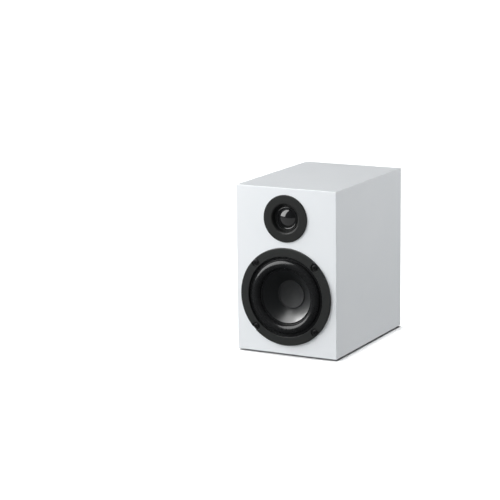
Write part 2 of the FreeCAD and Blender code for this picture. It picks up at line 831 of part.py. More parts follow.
def woofer_cone():
    """The paper cone: rim under the surround's lip, gentle flare, collar on the former."""
    rim, lip = d.roll_centre - d.roll_radius + d.rubber_thick, -d.lip_thick
    thick = d.cone_thick
    collar = -d.cone_neck_level - d.cone_collar
    body = turned(
        "woofer_cone",
        (rim, lip),
        (d.lip_inner, lip, d.cone_bow),
        (d.cap_radius, -d.cap_level),
        (d.former_outer, -d.cone_neck_level),
        (d.former_outer, collar),
        (d.former_outer + thick, collar),
        (d.former_outer + thick, -d.cone_neck_level - thick / 2),
        (d.cap_radius + thick / 2, -d.cap_level - thick, -d.cone_bow),
        (d.lip_inner + thick / 2, lip - thick),
        (rim, lip - thick),
    )
    return on_woofer(body)


def woofer_dust_cap():
    """An inverted cap: a dish inside a raised rim that is glued to the cone."""
    rim, edge, thick = d.cap_radius, -d.cap_level, d.cap_thick
    inside = rim - d.cap_rim
    sag = d.cap_dish.number - math.sqrt(d.cap_dish.number**2 - inside.number**2)
    bottom = edge - sag
    body = turned(
        "woofer_dust_cap",
        (rim, edge),
        (rim, edge + thick, d.cap_rim / 2),
        (inside, edge + thick, -d.cap_dish),
        (0, bottom + thick),
        (0, bottom, d.cap_dish),
        (inside, edge),
    )
    return on_woofer(body)


def woofer_voice_coil():
    outer, end = d.former_outer, -d.coil_end
    former = ring("woofer_coil_former", outer - d.former_thick, outer, end, -d.former_top)
    winding = ring("woofer_coil_winding", outer, d.coil_outer, end, end + d.coil_length)
    return on_woofer(former), on_woofer(winding)


def woofer_spider():
    """The corrugated cloth ring that centres the coil: three waves, a collar and a glued edge."""
    shelf, thick, wave = -d.shelf_level, d.spider_thick, d.spider_wave
    start = d.former_outer
    first = start + wave * 2
    step = (d.shelf_inner - first) / 6
    tops, undersides = [], []
    for i in range(7):
        height = shelf + (wave if i % 2 == 0 and i < 6 else 0)
        tops.append((first + step * i, height + thick))
        undersides.append((first + step * i, height))
    body = turned(
        "woofer_spider",
        (start, shelf),
        (start, shelf + d.spider_neck),
        (start + thick, shelf + d.spider_neck),
        (start + thick, shelf + thick),
        *tops,
        (d.basket_neck - thick, shelf + thick),
        (d.basket_neck - thick, shelf),
        *reversed(undersides),
        (first - wave, shelf),
    )
    return on_woofer(body)


def woofer_motor():
    """Front plate, ferrite ring, and the rear plate with its vented pole."""
    front = -d.base_level - d.basket_wall
    behind_plate = front - d.washer_thick
    behind_magnet = behind_plate - d.magnet_thick
    pole_front = front - d.pole_short
    on_woofer(ring("woofer_top_plate", d.gap_outer, d.washer_radius, behind_plate, front))
    on_woofer(
        ring("woofer_magnet", d.magnet_hole, d.magnet_radius, behind_magnet, behind_plate)
    )
    rear = behind_magnet - d.washer_thick
    yoke = turned(
        "woofer_yoke",
        (d.pole_vent, rear),
        (d.washer_radius - d.flange_round, rear),
        (d.washer_radius, rear + d.flange_round),
        (d.washer_radius, behind_magnet),
        (d.pole_radius, behind_magnet),
        (d.pole_radius, pole_front),
        (d.pole_vent, pole_front),
    )
    return on_woofer(yoke)


def woofer_terminal_strip():
    """A fibre strip on the basket's shelf wall with two solder lugs that point backwards."""
    body = new_body("woofer_terminal_strip")
    wall = d.basket_neck + d.basket_wall
    low = -d.base_level - d.basket_wall
    strip = new_sketch(body, lift=low)
    rectangle(strip, -d.strip_half, -wall - d.strip_thick, d.strip_half, -wall)
    pad(body, strip, d.strip_length)
    lugs = new_sketch(body, lift=low - d.lug_length)
    for x in (-d.lug_spacing, d.lug_spacing):
        rectangle(
            lugs,
            x - d.lug_half,
            -wall - d.strip_thick - d.lug_thick,
            x + d.lug_half,
            -wall - d.strip_thick,
        )
    pad(body, lugs, d.lug_length + d.strip_length)
    return keep(on_woofer(body), "woofer_terminal_strip")


def woofer():
    woofer_basket()
    woofer_gasket()
    woofer_screws()
    woofer_surround()
    woofer_cone()
    woofer_dust_cap()
    woofer_voice_coil()
    woofer_spider()
    woofer_motor()
    woofer_terminal_strip()


# ---------------------------------------------------------------- tweeter


def tweeter_face():
    """The screwless face ring: it snaps over the chassis flange and flares in to the dome."""
    body = turned(
        "tweeter_face_ring",
        (d.face_radius, 0),
        (d.face_radius, d.face_proud - d.face_round, d.face_round),
        (d.face_radius - d.face_round, d.face_proud),
        (d.flare_mouth, d.face_proud, d.flare_round),
        (d.flare_mouth - d.flare_round, d.face_proud - d.flare_round),
        (d.flare_throat, -d.flare_deep),
        (d.sleeve_outer, -d.flare_deep),
        (d.sleeve_outer, 0),
    )
    return on_tweeter(body)


def tweeter_chassis():
    """The moulding that holds the diaphragm and the motor, screwed into the baffle's seat."""
    body = new_body("tweeter_chassis")
    shelf = -d.flare_deep - d.carrier_thick
    revolve(
        body,
        (d.chassis_flange, -d.chassis_sunk),
        (d.chassis_bore, -d.chassis_sunk),
        (d.chassis_bore, shelf),
        (d.chassis_shelf, shelf),
        (d.chassis_shelf, -d.chassis_end),
        (d.chassis_neck, -d.chassis_end),
        (d.chassis_neck, -d.counterbore_deep),
        (d.chassis_flange, -d.counterbore_deep),
    )
    spot = d.tweeter_screw_circle * SIN_45
    seat = new_sketch(body, lift=-d.chassis_sunk)
    circle(seat, d.small_head + d.pilot_play * 4, spot, spot)
    sunk = pocket(body, seat, d.small_head_height / 2)
    hole = new_sketch(body, lift=-d.chassis_sunk)
    circle(hole, d.small_shank + d.pilot_play * 4, spot, spot)
    drilled = pocket(body, hole, d.counterbore_deep)
    around(body, [sunk, drilled], 4)
    return keep(on_tweeter(body), "tweeter_chassis")


def tweeter_screws():
    body = new_body("tweeter_screws")
    seat = -d.chassis_sunk - d.small_head_height / 2
    screw = pan_screw(body, d.tweeter_screw_circle, seat, small_head(), d.small_length)
    around(body, screw, 4)
    return keep(on_tweeter(body, ON_THE_SKEW), "tweeter_screws")


def tweeter_carrier():
    """The ring that carries the diaphragm, with the bead that shows round it."""
    low = -d.flare_deep - d.carrier_thick
    high = -d.flare_deep
    bead = d.carrier_inner + d.carrier_bead
    body = turned(
        "tweeter_carrier_ring",
        (d.carrier_inner, low),
        (d.carrier_outer, low),
        (d.carrier_outer, high),
        (bead, high),
        (bead, high + d.carrier_bead / 2, d.carrier_bead / 2),
        (d.carrier_inner, high + d.carrier_bead / 2),
    )
    return on_tweeter(body)


def tweeter_diaphragm():
    """The silk dome with its skirt, the half roll round it, and its coil."""
    edge, level, thick = d.dome_radius, -d.dome_level, d.dome_thick
    sphere = d.dome_sphere
    inner_edge = edge - thick
    rise = sphere.number - math.sqrt(sphere.number**2 - edge.number**2)
    hollow = sphere - thick
    inner_rise = hollow.number - math.sqrt(hollow.number**2 - inner_edge.number**2)
    on_tweeter(
        turned(
            "tweeter_dome",
            (edge, level - d.dome_skirt),
            (edge, level, sphere),
            (0, level + rise),
            (0, level + inner_rise, -hollow),
            (inner_edge, level),
            (inner_edge, level - d.dome_skirt),
        )
    )
    roll = (d.carrier_inner - edge) / 2
    inside = roll - thick
    middle = edge + roll
    on_tweeter(
        turned(
            "tweeter_surround",
            (middle + roll, level - thick),
            (middle + roll, level, roll),
            (middle - roll, level),
            (middle - roll, level - thick),
            (middle - inside, level - thick),
            (middle - inside, level, -inside),
            (middle + inside, level),
            (middle + inside, level - thick),
        )
    )
    former = inner_edge - thick
    end = -d.dome_coil_end
    coil_top = end + d.small_plate_thick
    on_tweeter(
        turned(
            "tweeter_voice_coil",
            (former, end),
            (former + d.dome_coil_thick + thick, end),
            (former + d.dome_coil_thick + thick, coil_top),
            (inner_edge, coil_top),
            (inner_edge, level),
            (former, level),
        )
    )


def tweeter_motor():
    """Front plate, magnet, vented yoke, rear chamber and solder lugs."""
    front = -d.chassis_end
    behind_plate = front - d.small_plate_thick
    behind_magnet = behind_plate - d.small_magnet_thick
    rear = behind_magnet - d.small_yoke_thick
    on_tweeter(ring("tweeter_top_plate", d.small_gap, d.small_plate, behind_plate, front))
    on_tweeter(
        ring("tweeter_magnet", d.small_magnet_hole, d.small_magnet, behind_magnet, behind_plate)
    )
    on_tweeter(
        turned(
            "tweeter_yoke",
            (d.small_vent, rear),
            (d.small_plate, rear),
            (d.small_plate, behind_magnet),
            (d.small_pole, behind_magnet),
            (d.small_pole, front),
            (d.small_vent, front),
        )
    )
    outer, wall = d.chamber_radius, d.chamber_wall
    end = rear - d.chamber_length
    on_tweeter(
        turned(
            "tweeter_rear_chamber",
            (0, end),
            (outer - wall, end, wall),
            (outer, end + wall),
            (outer, rear),
            (outer - wall, rear),
            (outer - wall, end + wall),
            (0, end + wall),
        )
    )
    lugs = new_body("tweeter_lugs")
    sketch = new_sketch(lugs, lift=rear - d.lug_length)
    for x in (-d.lug_spacing, d.lug_spacing):
        rectangle(
            sketch,
            x - d.lug_half,
            -d.small_plate + d.lug_thick,
            x + d.lug_half,
            -d.small_plate + d.lug_thick * 2,
        )
    pad(lugs, sketch, d.lug_length)
    keep(on_tweeter(lugs), "tweeter_lugs")


def tweeter():
    tweeter_face()
    tweeter_chassis()
    tweeter_screws()
    tweeter_carrier()
    tweeter_diaphragm()
    tweeter_motor()


# ---------------------------------------------------------------- terminals


def terminal_cup():
    """The moulded plate with its recess for fingers and cable ends."""
    body = new_body("terminal_cup")
    flange = new_sketch(body)
    rounded_rectangle(flange, d.cup_half_wide, d.cup_half_high, d.cup_corner)
    pad(body, flange, d.cup_proud)
    tub = new_sketch(body, lift=-d.tub_deep - d.tub_wall)
    wall = d.tub_wall
    rounded_rectangle(tub, d.tub_half_wide + wall, d.tub_half_high + wall, d.tub_corner + wall)
    pad(body, tub, d.tub_deep + d.tub_wall)
    recess = new_sketch(body, lift=d.cup_proud)
    rounded_rectangle(recess, d.tub_half_wide, d.tub_half_high, d.tub_corner)
    pocket(body, recess, d.tub_deep + d.cup_proud)
    holes = new_sketch(body, lift=d.cup_proud)
    for x in (-d.post_spacing / 2, d.post_spacing / 2):
        circle(holes, d.stud_radius + d.thread_play, x)
    for x in (-d.cup_screw_wide, d.cup_screw_wide):
        for y in (-d.cup_screw_high, d.cup_screw_high):
            circle(holes, d.small_shank + d.pilot_play * 4, x, y)
    pocket(body, holes, d.cup_proud + d.tub_deep + d.tub_wall)
    return keep(on_terminals(body), "terminal_cup")


def terminal_screws():
    body = new_body("terminal_screws")
    head = small_head()
    turn, socket = pan_screw(body, d.cup_screw_wide, d.cup_proud, head, d.small_length)
    for sketch, axis, way in ((turn.Profile[0], "z", -1), (socket.Profile[0], "y", 1)):
        bind(sketch, f"AttachmentOffset.Base.{axis}", d.cup_screw_high * way)
    both_ways(body, [turn, socket])
    return keep(on_terminals(body), "terminal_screws")


def binding_posts():
    """The two fixed studs: flange, banana socket, wire hole, and a tail for nut and solder tag."""
    floor = -d.tub_deep
    flange_top = floor + d.stud_flange_thick
    tail = floor - d.stud_tail
    studs = new_body("binding_posts")
    stud = revolve(
        studs,
        (0, tail),
        (d.stud_radius, tail),
        (d.stud_radius, floor),
        (d.stud_flange, floor),
        (d.stud_flange, flange_top),
        (d.stud_radius, flange_top),
        (d.stud_radius, d.stud_front),
        (d.banana_radius, d.stud_front),
        (d.banana_radius, d.stud_front - d.banana_deep),
        (0, d.stud_front - d.banana_deep - d.banana_radius),
        across=d.post_spacing / 2,
    )
    cross = new_sketch(studs, "XZ_Plane", lift=-d.stud_flange, across=d.post_spacing / 2)
    circle(cross, d.wire_hole, 0, flange_top + d.wire_hole)
    across = pocket(studs, cross, d.stud_flange * 2)
    across.Reversed = True
    mirror(studs, [stud, across], "YZ_Plane")
    return keep(on_terminals(studs), "binding_posts")


def clamp_knob(name, x):
    """What turns on a stud: a sliding clamp collar, and the knob round its brass core."""
    flange_top = d.stud_flange_thick - d.tub_deep
    bore = d.stud_radius + d.thread_play
    seat = flange_top + d.collar_thick
    collar = ring(name + "_collar", bore, d.stud_flange, flange_top, seat)
    on_terminals(collar, x)

    end = seat + d.knob_length
    core = turned(
        name + "_core",
        (bore, seat),
        (d.insert_outer, seat),
        (d.insert_outer, end),
        (d.insert_mouth, end),
        (d.insert_mouth, end - d.insert_lip),
        (bore, end - d.insert_lip),
    )
    on_terminals(core, x)

    knob = new_body(name + "_knob")
    revolve(
        knob,
        (d.insert_outer, seat),
        (d.knob_radius, seat),
        (d.knob_radius, end - d.knob_round, d.knob_round),
        (d.knob_radius - d.knob_round, end),
        (d.insert_outer, end),
    )
    flute = new_sketch(knob, lift=end)
    circle(flute, d.flute_radius, d.knob_radius + d.flute_radius / 2)
    cut = pocket(knob, flute, d.knob_length - d.flute_radius * 2)
    around(knob, [cut], 16)
    keep(on_terminals(knob, x), name + "_knob")


def post_nuts():
    """Two hexagon nuts with their solder tags, inside the cabinet."""
    body = new_body("post_nuts")
    back = -d.tub_deep - d.tub_wall
    nut = new_sketch(body, lift=back - d.nut_thick, across=d.post_spacing / 2)
    corner = d.nut_radius
    side = corner * SIN_60
    half = corner / 2
    outline(nut, (corner, 0), (half, side), (-half, side), (-corner, 0), (-half, -side), (half, -side))
    circle(nut, d.stud_radius + d.thread_play)
    one = pad(body, nut, d.nut_thick)
    mirror(body, [one], "YZ_Plane")
    return keep(on_terminals(body), "post_nuts")


def terminals():
    terminal_cup()
    terminal_screws()
    binding_posts()
    clamp_knob("positive", d.post_spacing / 2)
    clamp_knob("negative", -d.post_spacing / 2)
    post_nuts()


# ---------------------------------------------------------------- bass reflex port


def port():
    """The flared mouth piece that is glued into the rear panel, and the tube pushed over it."""
    bore, wall = d.port_bore, d.port_wall
    mouth = bore + d.port_flare
    out = d.port_proud
    on_port(
        turned(
            "port_mouth",
            (mouth, out, d.port_flare),
            (bore, out - d.port_flare),
            (bore, -d.port_sleeve),
            (bore + wall, -d.port_sleeve),
            (bore + wall, -d.port_flare),
            (d.port_hole - d.tub_play, -d.port_wall),
            (d.port_hole - d.tub_play, 0),
            (d.port_flange, 0),
            (d.port_flange, out - wall / 2, wall / 2),
            (d.port_flange - wall / 2, out),
        )
    )
    start = -d.port_sleeve + d.port_overlap
    outer = bore + wall * 2
    end = -d.port_length
    on_port(
        turned(
            "port_tube",
            (bore + wall, start),
            (bore + wall, -d.port_sleeve),
            (bore, -d.port_sleeve),
            (bore, end + wall, -wall),
            (bore + wall, end),
            (outer, end),
            (outer, start),
        )
    )


# ---------------------------------------------------------------- crossover

board_z = floor_z + d.spacer_height
deck_z = board_z + d.board_thick


def depth(size):
    """A distance behind the cabinet's front face, as a Y coordinate."""
    return front_y + size


def crossover_board():
    body = new_body("crossover_board")
    plate = new_sketch(body)
    rectangle(plate, -d.board_half_wide, d.board_near, d.board_half_wide, d.board_far)
    for x in (d.board_margin - d.board_half_wide, d.board_half_wide - d.board_margin):
        for y in (d.board_near + d.board_margin, d.board_far - d.board_margin):
            circle(plate, d.small_shank + d.pilot_play * 4, x, y)
    pad(body, plate, d.board_thick)
    return keep(place(body, 0, front_y, board_z), "crossover_board")


def crossover_mounts():
    """Four spacers and the four screws that hold the board down on them."""
    middle = (d.board_near + d.board_far) / 2
    reach_y = (d.board_far - d.board_near) / 2 - d.board_margin
    reach_x = d.board_half_wide - d.board_margin
    spacers = new_body("crossover_spacers")
    sketch = new_sketch(spacers)
    for x in (-reach_x, reach_x):
        for y in (-reach_y, reach_y):
            circle(sketch, d.spacer_radius, x, y)
            circle(sketch, d.small_shank + d.pilot_play * 4, x, y)
    pad(spacers, sketch, d.spacer_height)
    keep(place(spacers, 0, depth(middle), floor_z), "crossover_spacers")

    screws = new_body("crossover_screws")
    reach = d.spacer_height + d.board_thick - d.small_shank - d.pilot_play
    turn, socket = pan_screw(screws, reach_x, 0, small_head(), reach)
    for feature, axis, way in ((turn, "z", -1), (socket, "y", 1)):
        bind(feature.Profile[0], f"AttachmentOffset.Base.{axis}", reach_y * way)
    both_ways(screws, [turn, socket])
    keep(place(screws, 0, depth(middle), deck_z), "crossover_screws")


def crossover_parts():
    """Chokes, film capacitors and the ceramic resistor, standing or lying on the board."""
    near, far = d.board_near, d.board_far
    margin = d.board_margin
    choke_x = -d.choke_radius - margin / 2
    choke_y = depth(near + d.choke_radius + margin)
    bobbin = turned(
        "choke_bobbin",
        (d.choke_core - d.choke_flange, 0),
        (d.choke_radius, 0),
        (d.choke_radius, d.choke_flange),
        (d.choke_core, d.choke_flange),
        (d.choke_core, d.choke_height - d.choke_flange),
        (d.choke_radius, d.choke_height - d.choke_flange),
        (d.choke_radius, d.choke_height),
        (d.choke_core - d.choke_flange, d.choke_height),
    )
    place(bobbin, choke_x, choke_y, deck_z)
    winding = ring(
        "choke_winding",
        d.choke_core,
        d.choke_radius - d.choke_flange,
        d.choke_flange,
        d.choke_height - d.choke_flange,
    )
    place(winding, choke_x, choke_y, deck_z)
    small = ring("tweeter_choke", d.coil_small_core, d.coil_small, 0, d.coil_small_height)
    small_x = d.coil_small - d.board_half_wide + margin / 2
    place(small, small_x, depth(far - d.coil_small - margin), deck_z)
    capacitors = new_body("crossover_capacitors")
    ends = new_sketch(capacitors, "YZ_Plane", lift=d.capacitor_radius)
    for step in (1, 3.4):
        circle(ends, d.capacitor_radius, d.capacitor_radius * step, d.capacitor_radius)
    pad(capacitors, ends, d.capacitor_length)
    place(capacitors, 0, depth(near + margin / 2), deck_z)
    keep(capacitors, "crossover_capacitors")
    start_y = depth(near + d.capacitor_radius * 5.5)
    resistor = block(
        "crossover_resistor",
        (margin, start_y, deck_z),
        (margin + d.resistor_length, start_y + d.resistor_side, deck_z + d.resistor_side),
    )
    keep(resistor, "crossover_resistor")


def crossover():
    crossover_board()
    crossover_mounts()
    crossover_parts()


# ---------------------------------------------------------------- wiring


def tube(points, radius, bend=9):
    """A wire: straight runs joined by tangent arcs of one radius, or less where a run is short."""
    edges = []
    start = points[0]
    for before, corner, after in zip(points, points[1:], points[2:]):
        back, on = before - corner, after - corner
        half_turn = (math.pi - back.getAngle(on)) / 2
        cut = min(bend * math.tan(half_turn), 0.48 * min(back.Length, on.Length))
        back, on = back.normalize(), on.normalize()
        first, last = corner + back * cut, corner + on * cut
        bisector = (back + on).normalize()
        arc_radius = cut / math.tan(half_turn)
        middle = corner + bisector * (arc_radius / math.cos(half_turn) - arc_radius)
        edges.append(Part.LineSegment(start, first).toShape())
        edges.append(Part.Arc(first, middle, last).toShape())
        start = last
        print(f"  bend radius {arc_radius:.1f} mm")
    edges.append(Part.LineSegment(start, points[-1]).toShape())
    route = Part.Wire(edges)
    section = Part.Wire(Part.Circle(points[0], points[1] - points[0], radius).toShape())
    solid = route.makePipeShell([section], True, True)
    straight_volume = route.Length * math.pi * radius * radius
    if abs(solid.Volume / straight_volume - 1) > 0.01:
        raise RuntimeError("a wire's volume isn't its section times its length")
    return solid


def point(x, behind_face, z):
    """A point of a route from sizes: across, behind the front face, and above the feet's floor."""
    return V(as_size(x).number, depth(as_size(behind_face)).number, as_size(z).number)


def tinsel_leads():
    """Two braided leads from the back of the cone, out of a basket window and down to the lugs."""
    solids = []
    strip = d.basket_neck + d.basket_wall + d.strip_thick / 2
    strip_front = d.base_level + d.basket_wall - d.strip_length
    route = (
        (d.cap_radius + 5, d.cap_level - 2.6),
        (d.cap_radius + 6, d.cap_level + 3),
        (d.cap_radius + 14, d.cap_level - 1.7),
        (strip + 2.7, d.cap_level - 0.4),
        (strip + 2.2, strip_front - 6.6),
        (strip, strip_front - 3.2),
        (strip, strip_front),
    )
    for x in (-d.lug_spacing, d.lug_spacing):
        solids.append(
            tube([point(x, back, woofer_z - down) for down, back in route], d.tinsel_radius.number)
        )
    return shape_piece("woofer_tinsel_leads", Part.makeCompound(solids))


def pair(label, routes):
    """Two insulated wires of one run, the positive first."""
    solids = [tube(route, d.wire_radius.number) for route in routes]
    return shape_piece(label, Part.makeCompound(solids))


def wiring():
    """Post to board, board to woofer and board to tweeter, a pair of wires each."""
    tinsel_leads()
    board = deck_z + d.wire_radius
    post_half = d.post_spacing / 2
    tail = d.cabinet_depth - d.tub_deep - d.stud_tail
    inputs = []
    for side in (-1, 1):
        x = post_half * side
        inputs.append(
            [
                point(x, tail, terminal_z),
                point(x, tail - 7, terminal_z),
                point(x, tail - 14, terminal_z - 11),
                point(x * 1.2, tail - 17, terminal_z - 24),
                point(x * 1.3, tail - 22, board),
                point(x * 1.3, tail - 31, board),
            ]
        )
    pair("input_wires", inputs)

    lug_z = woofer_z - d.basket_neck - d.basket_wall - d.strip_thick - d.lug_thick
    lug_end = d.base_level + d.basket_wall + d.lug_length
    low = floor_z + d.clip_lift
    drops = []
    for side in (-1, 1):
        x = d.lug_spacing * side
        drops.append(
            [
                point(x, d.board_near + 8, board),
                point(x, d.board_near - 4, board),
                point(x, d.board_near - 13, low),
                point(x, lug_end + 16, low),
                point(x, lug_end + 8, low + 9),
                point(x, lug_end - 1, lug_z - d.wire_radius),
                point(x, lug_end - 7, lug_z - d.wire_radius),
            ]
        )
    pair("woofer_wires", drops)

    riser = -inner_half + d.pad_thick + d.wire_radius * 4
    window = d.foot_height + d.brace_level
    lug_z = tweeter_z - d.small_plate + d.lug_thick - d.wire_radius
    lug_end = d.lug_length + d.small_yoke_thick + d.small_magnet_thick
    lug_end = lug_end + d.small_plate_thick + d.chassis_end
    rises = []
    for side in (-1, 1):
        behind = (d.board_near + d.board_far) / 2 + 5 + side * 2
        spread = side * 2
        rises.append(
            [
                point(riser + 11, behind, board),
                point(riser + 3, behind, board),
                point(riser, behind, board + 12),
                point(riser, behind, window + 6),
                point(riser + 4 + spread, behind - 12, window + 22),
                point(riser + 16 + spread, behind - 40, window + 24),
                point(-14 + side * 4, lug_end + 26, window + 22),
                point(d.lug_spacing * side, lug_end + 9, lug_z - 1.5),
                point(d.lug_spacing * side, lug_end - 5, lug_z),
            ]
        )
    pair("tweeter_wires", rises)


def wire_clips():
    """Moulded clips stuck to the bottom board over the woofer's wires."""
    body = new_body("wire_clips")
    sketch = new_sketch(body, "XZ_Plane")
    side = d.lug_spacing + d.wire_radius * 3
    rectangle(sketch, -side, 0, side, d.clip_height)
    for x in (-d.lug_spacing, d.lug_spacing):
        circle(sketch, d.wire_radius + d.pilot_play * 3, x, d.clip_lift)
    pad(body, sketch, d.clip_width)
    return keep(place(body, 0, depth(d.board_near - d.clip_width * 5), floor_z), "wire_clips")


# ---------------------------------------------------------------- wadding


def wadding():
    """Polyester wadding stuck to the side boards and under the top board."""
    near, far = d.pad_near, d.cabinet_depth - d.rear_board
    gap = d.pad_gap
    sides = new_body("side_wadding")
    sketch = new_sketch(sides)
    for way in (-1, 1):
        outer, inner = inner_half - gap, inner_half - gap - d.pad_thick
        low, high = sorted((outer * way, inner * way), key=lambda size: size.number)
        rectangle(sketch, low, near, high, far - gap)
    pad(sides, sketch, d.brace_level - d.wall_board - gap * 2)
    keep(place(sides, 0, front_y, floor_z + gap), "side_wadding")
    top = block(
        "top_wadding",
        (gap - inner_half, depth(near), ceiling_z - gap - d.top_pad_thick),
        (inner_half - gap, depth(far - gap), ceiling_z - gap),
    )
    keep(top, "top_wadding")


# ---------------------------------------------------------------- build, check, write


def problems():
    """Everything that a recompute left failed, null or invalid."""
    found = []
    for piece in doc.Objects:
        if {"Invalid", "Error"} & set(piece.State):
            found.append(f"{piece.Name}: {piece.State}")
    for piece in kept:
        if piece.Shape.isNull() or not piece.Shape.isValid():
            found.append(f"{piece.Label}: null or invalid shape")
        elif not piece.Shape.Solids:
            found.append(f"{piece.Label}: no solid")
    return found


def main():
    cabinet()
    woofer()
    tweeter()
    terminals()
    port()
    crossover()
    wiring()
    wire_clips()
    wadding()
    doc.recompute()
    failed = problems()
    if failed:
        raise SystemExit("\n".join(failed))
    os.makedirs(OUT, exist_ok=True)
    for piece in kept:
        piece.Shape.exportStep(os.path.join(OUT, piece.Label + ".step"))
    print(len(kept), "sub-parts written")


main()
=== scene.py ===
# %% [markdown]
# # A two-way bookshelf loudspeaker, piece by piece
#
# The object is a white lacquered box with a black woofer low on its front, a small glossy dome
# tweeter above it, and a flared port and a pair of screw terminals on its back. Everything rigid
# arrives as exact solids, each at its true size and place. This lesson gives those solids their
# finishes, models by hand the pieces that bend or are soft, and lights the whole like a product
# in a small studio.
#
# The first cell loads the solids. Nothing below moves them: a new piece either rides on a body
# that is already there, or stands in for a solid that is then hidden.

import math

import bpy
import numpy as np
from mathutils import Euler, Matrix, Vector


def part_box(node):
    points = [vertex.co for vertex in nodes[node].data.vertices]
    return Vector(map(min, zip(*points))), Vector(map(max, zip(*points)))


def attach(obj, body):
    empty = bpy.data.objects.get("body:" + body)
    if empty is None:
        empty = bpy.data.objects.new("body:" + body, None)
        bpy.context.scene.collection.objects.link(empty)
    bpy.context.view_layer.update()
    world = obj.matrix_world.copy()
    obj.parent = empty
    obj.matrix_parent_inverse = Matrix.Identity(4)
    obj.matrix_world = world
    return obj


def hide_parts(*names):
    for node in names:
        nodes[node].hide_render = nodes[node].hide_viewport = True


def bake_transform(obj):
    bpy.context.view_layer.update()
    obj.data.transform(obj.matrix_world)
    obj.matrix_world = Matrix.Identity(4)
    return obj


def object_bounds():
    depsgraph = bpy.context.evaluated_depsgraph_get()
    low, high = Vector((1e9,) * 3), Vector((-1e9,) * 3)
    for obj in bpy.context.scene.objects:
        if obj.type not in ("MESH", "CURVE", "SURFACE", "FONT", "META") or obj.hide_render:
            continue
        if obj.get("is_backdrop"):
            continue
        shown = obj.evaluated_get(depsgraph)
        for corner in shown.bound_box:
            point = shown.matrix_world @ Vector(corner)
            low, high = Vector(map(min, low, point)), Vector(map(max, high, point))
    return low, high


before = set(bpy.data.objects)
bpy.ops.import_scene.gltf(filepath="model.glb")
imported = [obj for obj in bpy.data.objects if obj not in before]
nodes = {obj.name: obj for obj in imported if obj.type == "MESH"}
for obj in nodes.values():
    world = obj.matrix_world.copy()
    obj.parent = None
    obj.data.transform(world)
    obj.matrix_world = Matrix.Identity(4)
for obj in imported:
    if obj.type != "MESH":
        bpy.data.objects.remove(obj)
cad_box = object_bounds()
bpy.ops.object.select_all(action="DESELECT")

# %% [markdown]
# ## Where things are
#
# The two drivers are round, so most of the work happens about two axes that run front to back.
# A driver's height is read from the box of one of its own solids, and its centre is put on the
# face of the front board, so that every depth can be counted from there.

# %% Axes and planes
MM = 0.001


def middle_of(node):
    """The middle of a solid's box."""
    low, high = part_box(node)
    return (low + high) / 2


FRONT_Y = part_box("front_baffle")[0].y
WOOFER = Vector((0, FRONT_Y, middle_of("woofer_cone").z))
TWEETER = Vector((0, FRONT_Y, middle_of("tweeter_dome").z))
print("woofer axis", tuple(WOOFER), "tweeter axis", tuple(TWEETER))

# %% [markdown]
# ## The camera
#
# A long lens a couple of metres away keeps the edges of the box nearly parallel, which is how
# products are usually shown. The camera stands to the right of the front and a little above it.
# It is placed from the object's own middle: so far to the side of it, so far above it and so far
# back, along three directions that belong to the camera.

# %% Camera
LENS_MM, SENSOR_MM = 134.95, 36
AZIMUTH, ELEVATION, ROLL = math.radians(28.01), math.radians(11.70), math.radians(-0.71)
DISTANCE = 2.6188
STANDS_RIGHT, STANDS_LOW = 0.0988, 0.0105

back = Vector(
    (
        math.sin(AZIMUTH) * math.cos(ELEVATION),
        -math.cos(AZIMUTH) * math.cos(ELEVATION),
        math.sin(ELEVATION),
    )
)
turn = back.to_track_quat("Z", "Y") @ Euler((0, 0, ROLL)).to_quaternion()
right, up = turn @ Vector((1, 0, 0)), turn @ Vector((0, 1, 0))
object_middle = (cad_box[0] + cad_box[1]) / 2

camera = bpy.data.objects.new("camera", bpy.data.cameras.new("camera"))
bpy.context.scene.collection.objects.link(camera)
camera.data.lens = LENS_MM
camera.data.sensor_width = SENSOR_MM
camera.data.clip_start, camera.data.clip_end = 0.05, 60
camera.location = object_middle + back * DISTANCE - right * STANDS_RIGHT + up * STANDS_LOW
camera.rotation_euler = turn.to_euler()
bpy.context.scene.camera = camera
print("camera at", [round(v, 3) for v in camera.location])

# %% [markdown]
# ## How a finish is put together
#
# A real surface is never one flat value. Paint has a faint orange peel, plastic a spark-eroded
# grain, paper its fibres and a turned plate its fine rings. Each finish below is one Principled
# shader, with three kinds of small unevenness that can be added to it: mottling of the colour,
# mottling of the gloss, and relief. All three are procedural and read Object coordinates, so they
# have a real size in metres and stay put on the piece when it moves.
#
# Feature sizes are given in millimetres, because that is how one thinks about a grain. A noise
# texture's scale is the number of features in a metre, so it is 1000 divided by that size. A wave
# texture counts in a different way, and needs a scale of about 314 to repeat every millimetre.
# Nearly all of a noise lies between 0.3 and 0.7, so that range is stretched over the two tones.

# %% Helpers for finishes
NOISE_FROM_MM = 1000
WAVES_FROM_MM = 314.159
NOISE_LOW, NOISE_HIGH = 0.3, 0.7


def new_finish(name, colour, roughness, metallic=0.0, **sockets):
    """A material with one Principled shader. Other sockets are named with underscores."""
    material = bpy.data.materials.new(name)
    material.use_nodes = True
    shader = material.node_tree.nodes["Principled BSDF"]
    shader.inputs["Base Color"].default_value = (*colour, 1)
    shader.inputs["Roughness"].default_value = roughness
    shader.inputs["Metallic"].default_value = metallic
    for socket, value in sockets.items():
        shader.inputs[socket.replace("_", " ")].default_value = value
    return material


def add(material, kind, **inputs):
    """A new node of a material with some of its inputs set."""
    node = material.node_tree.nodes.new(kind)
    for socket, value in inputs.items():
        node.inputs[socket.replace("_", " ")].default_value = value
    return node


def wire(material, source, target):
    material.node_tree.links.new(source, target)


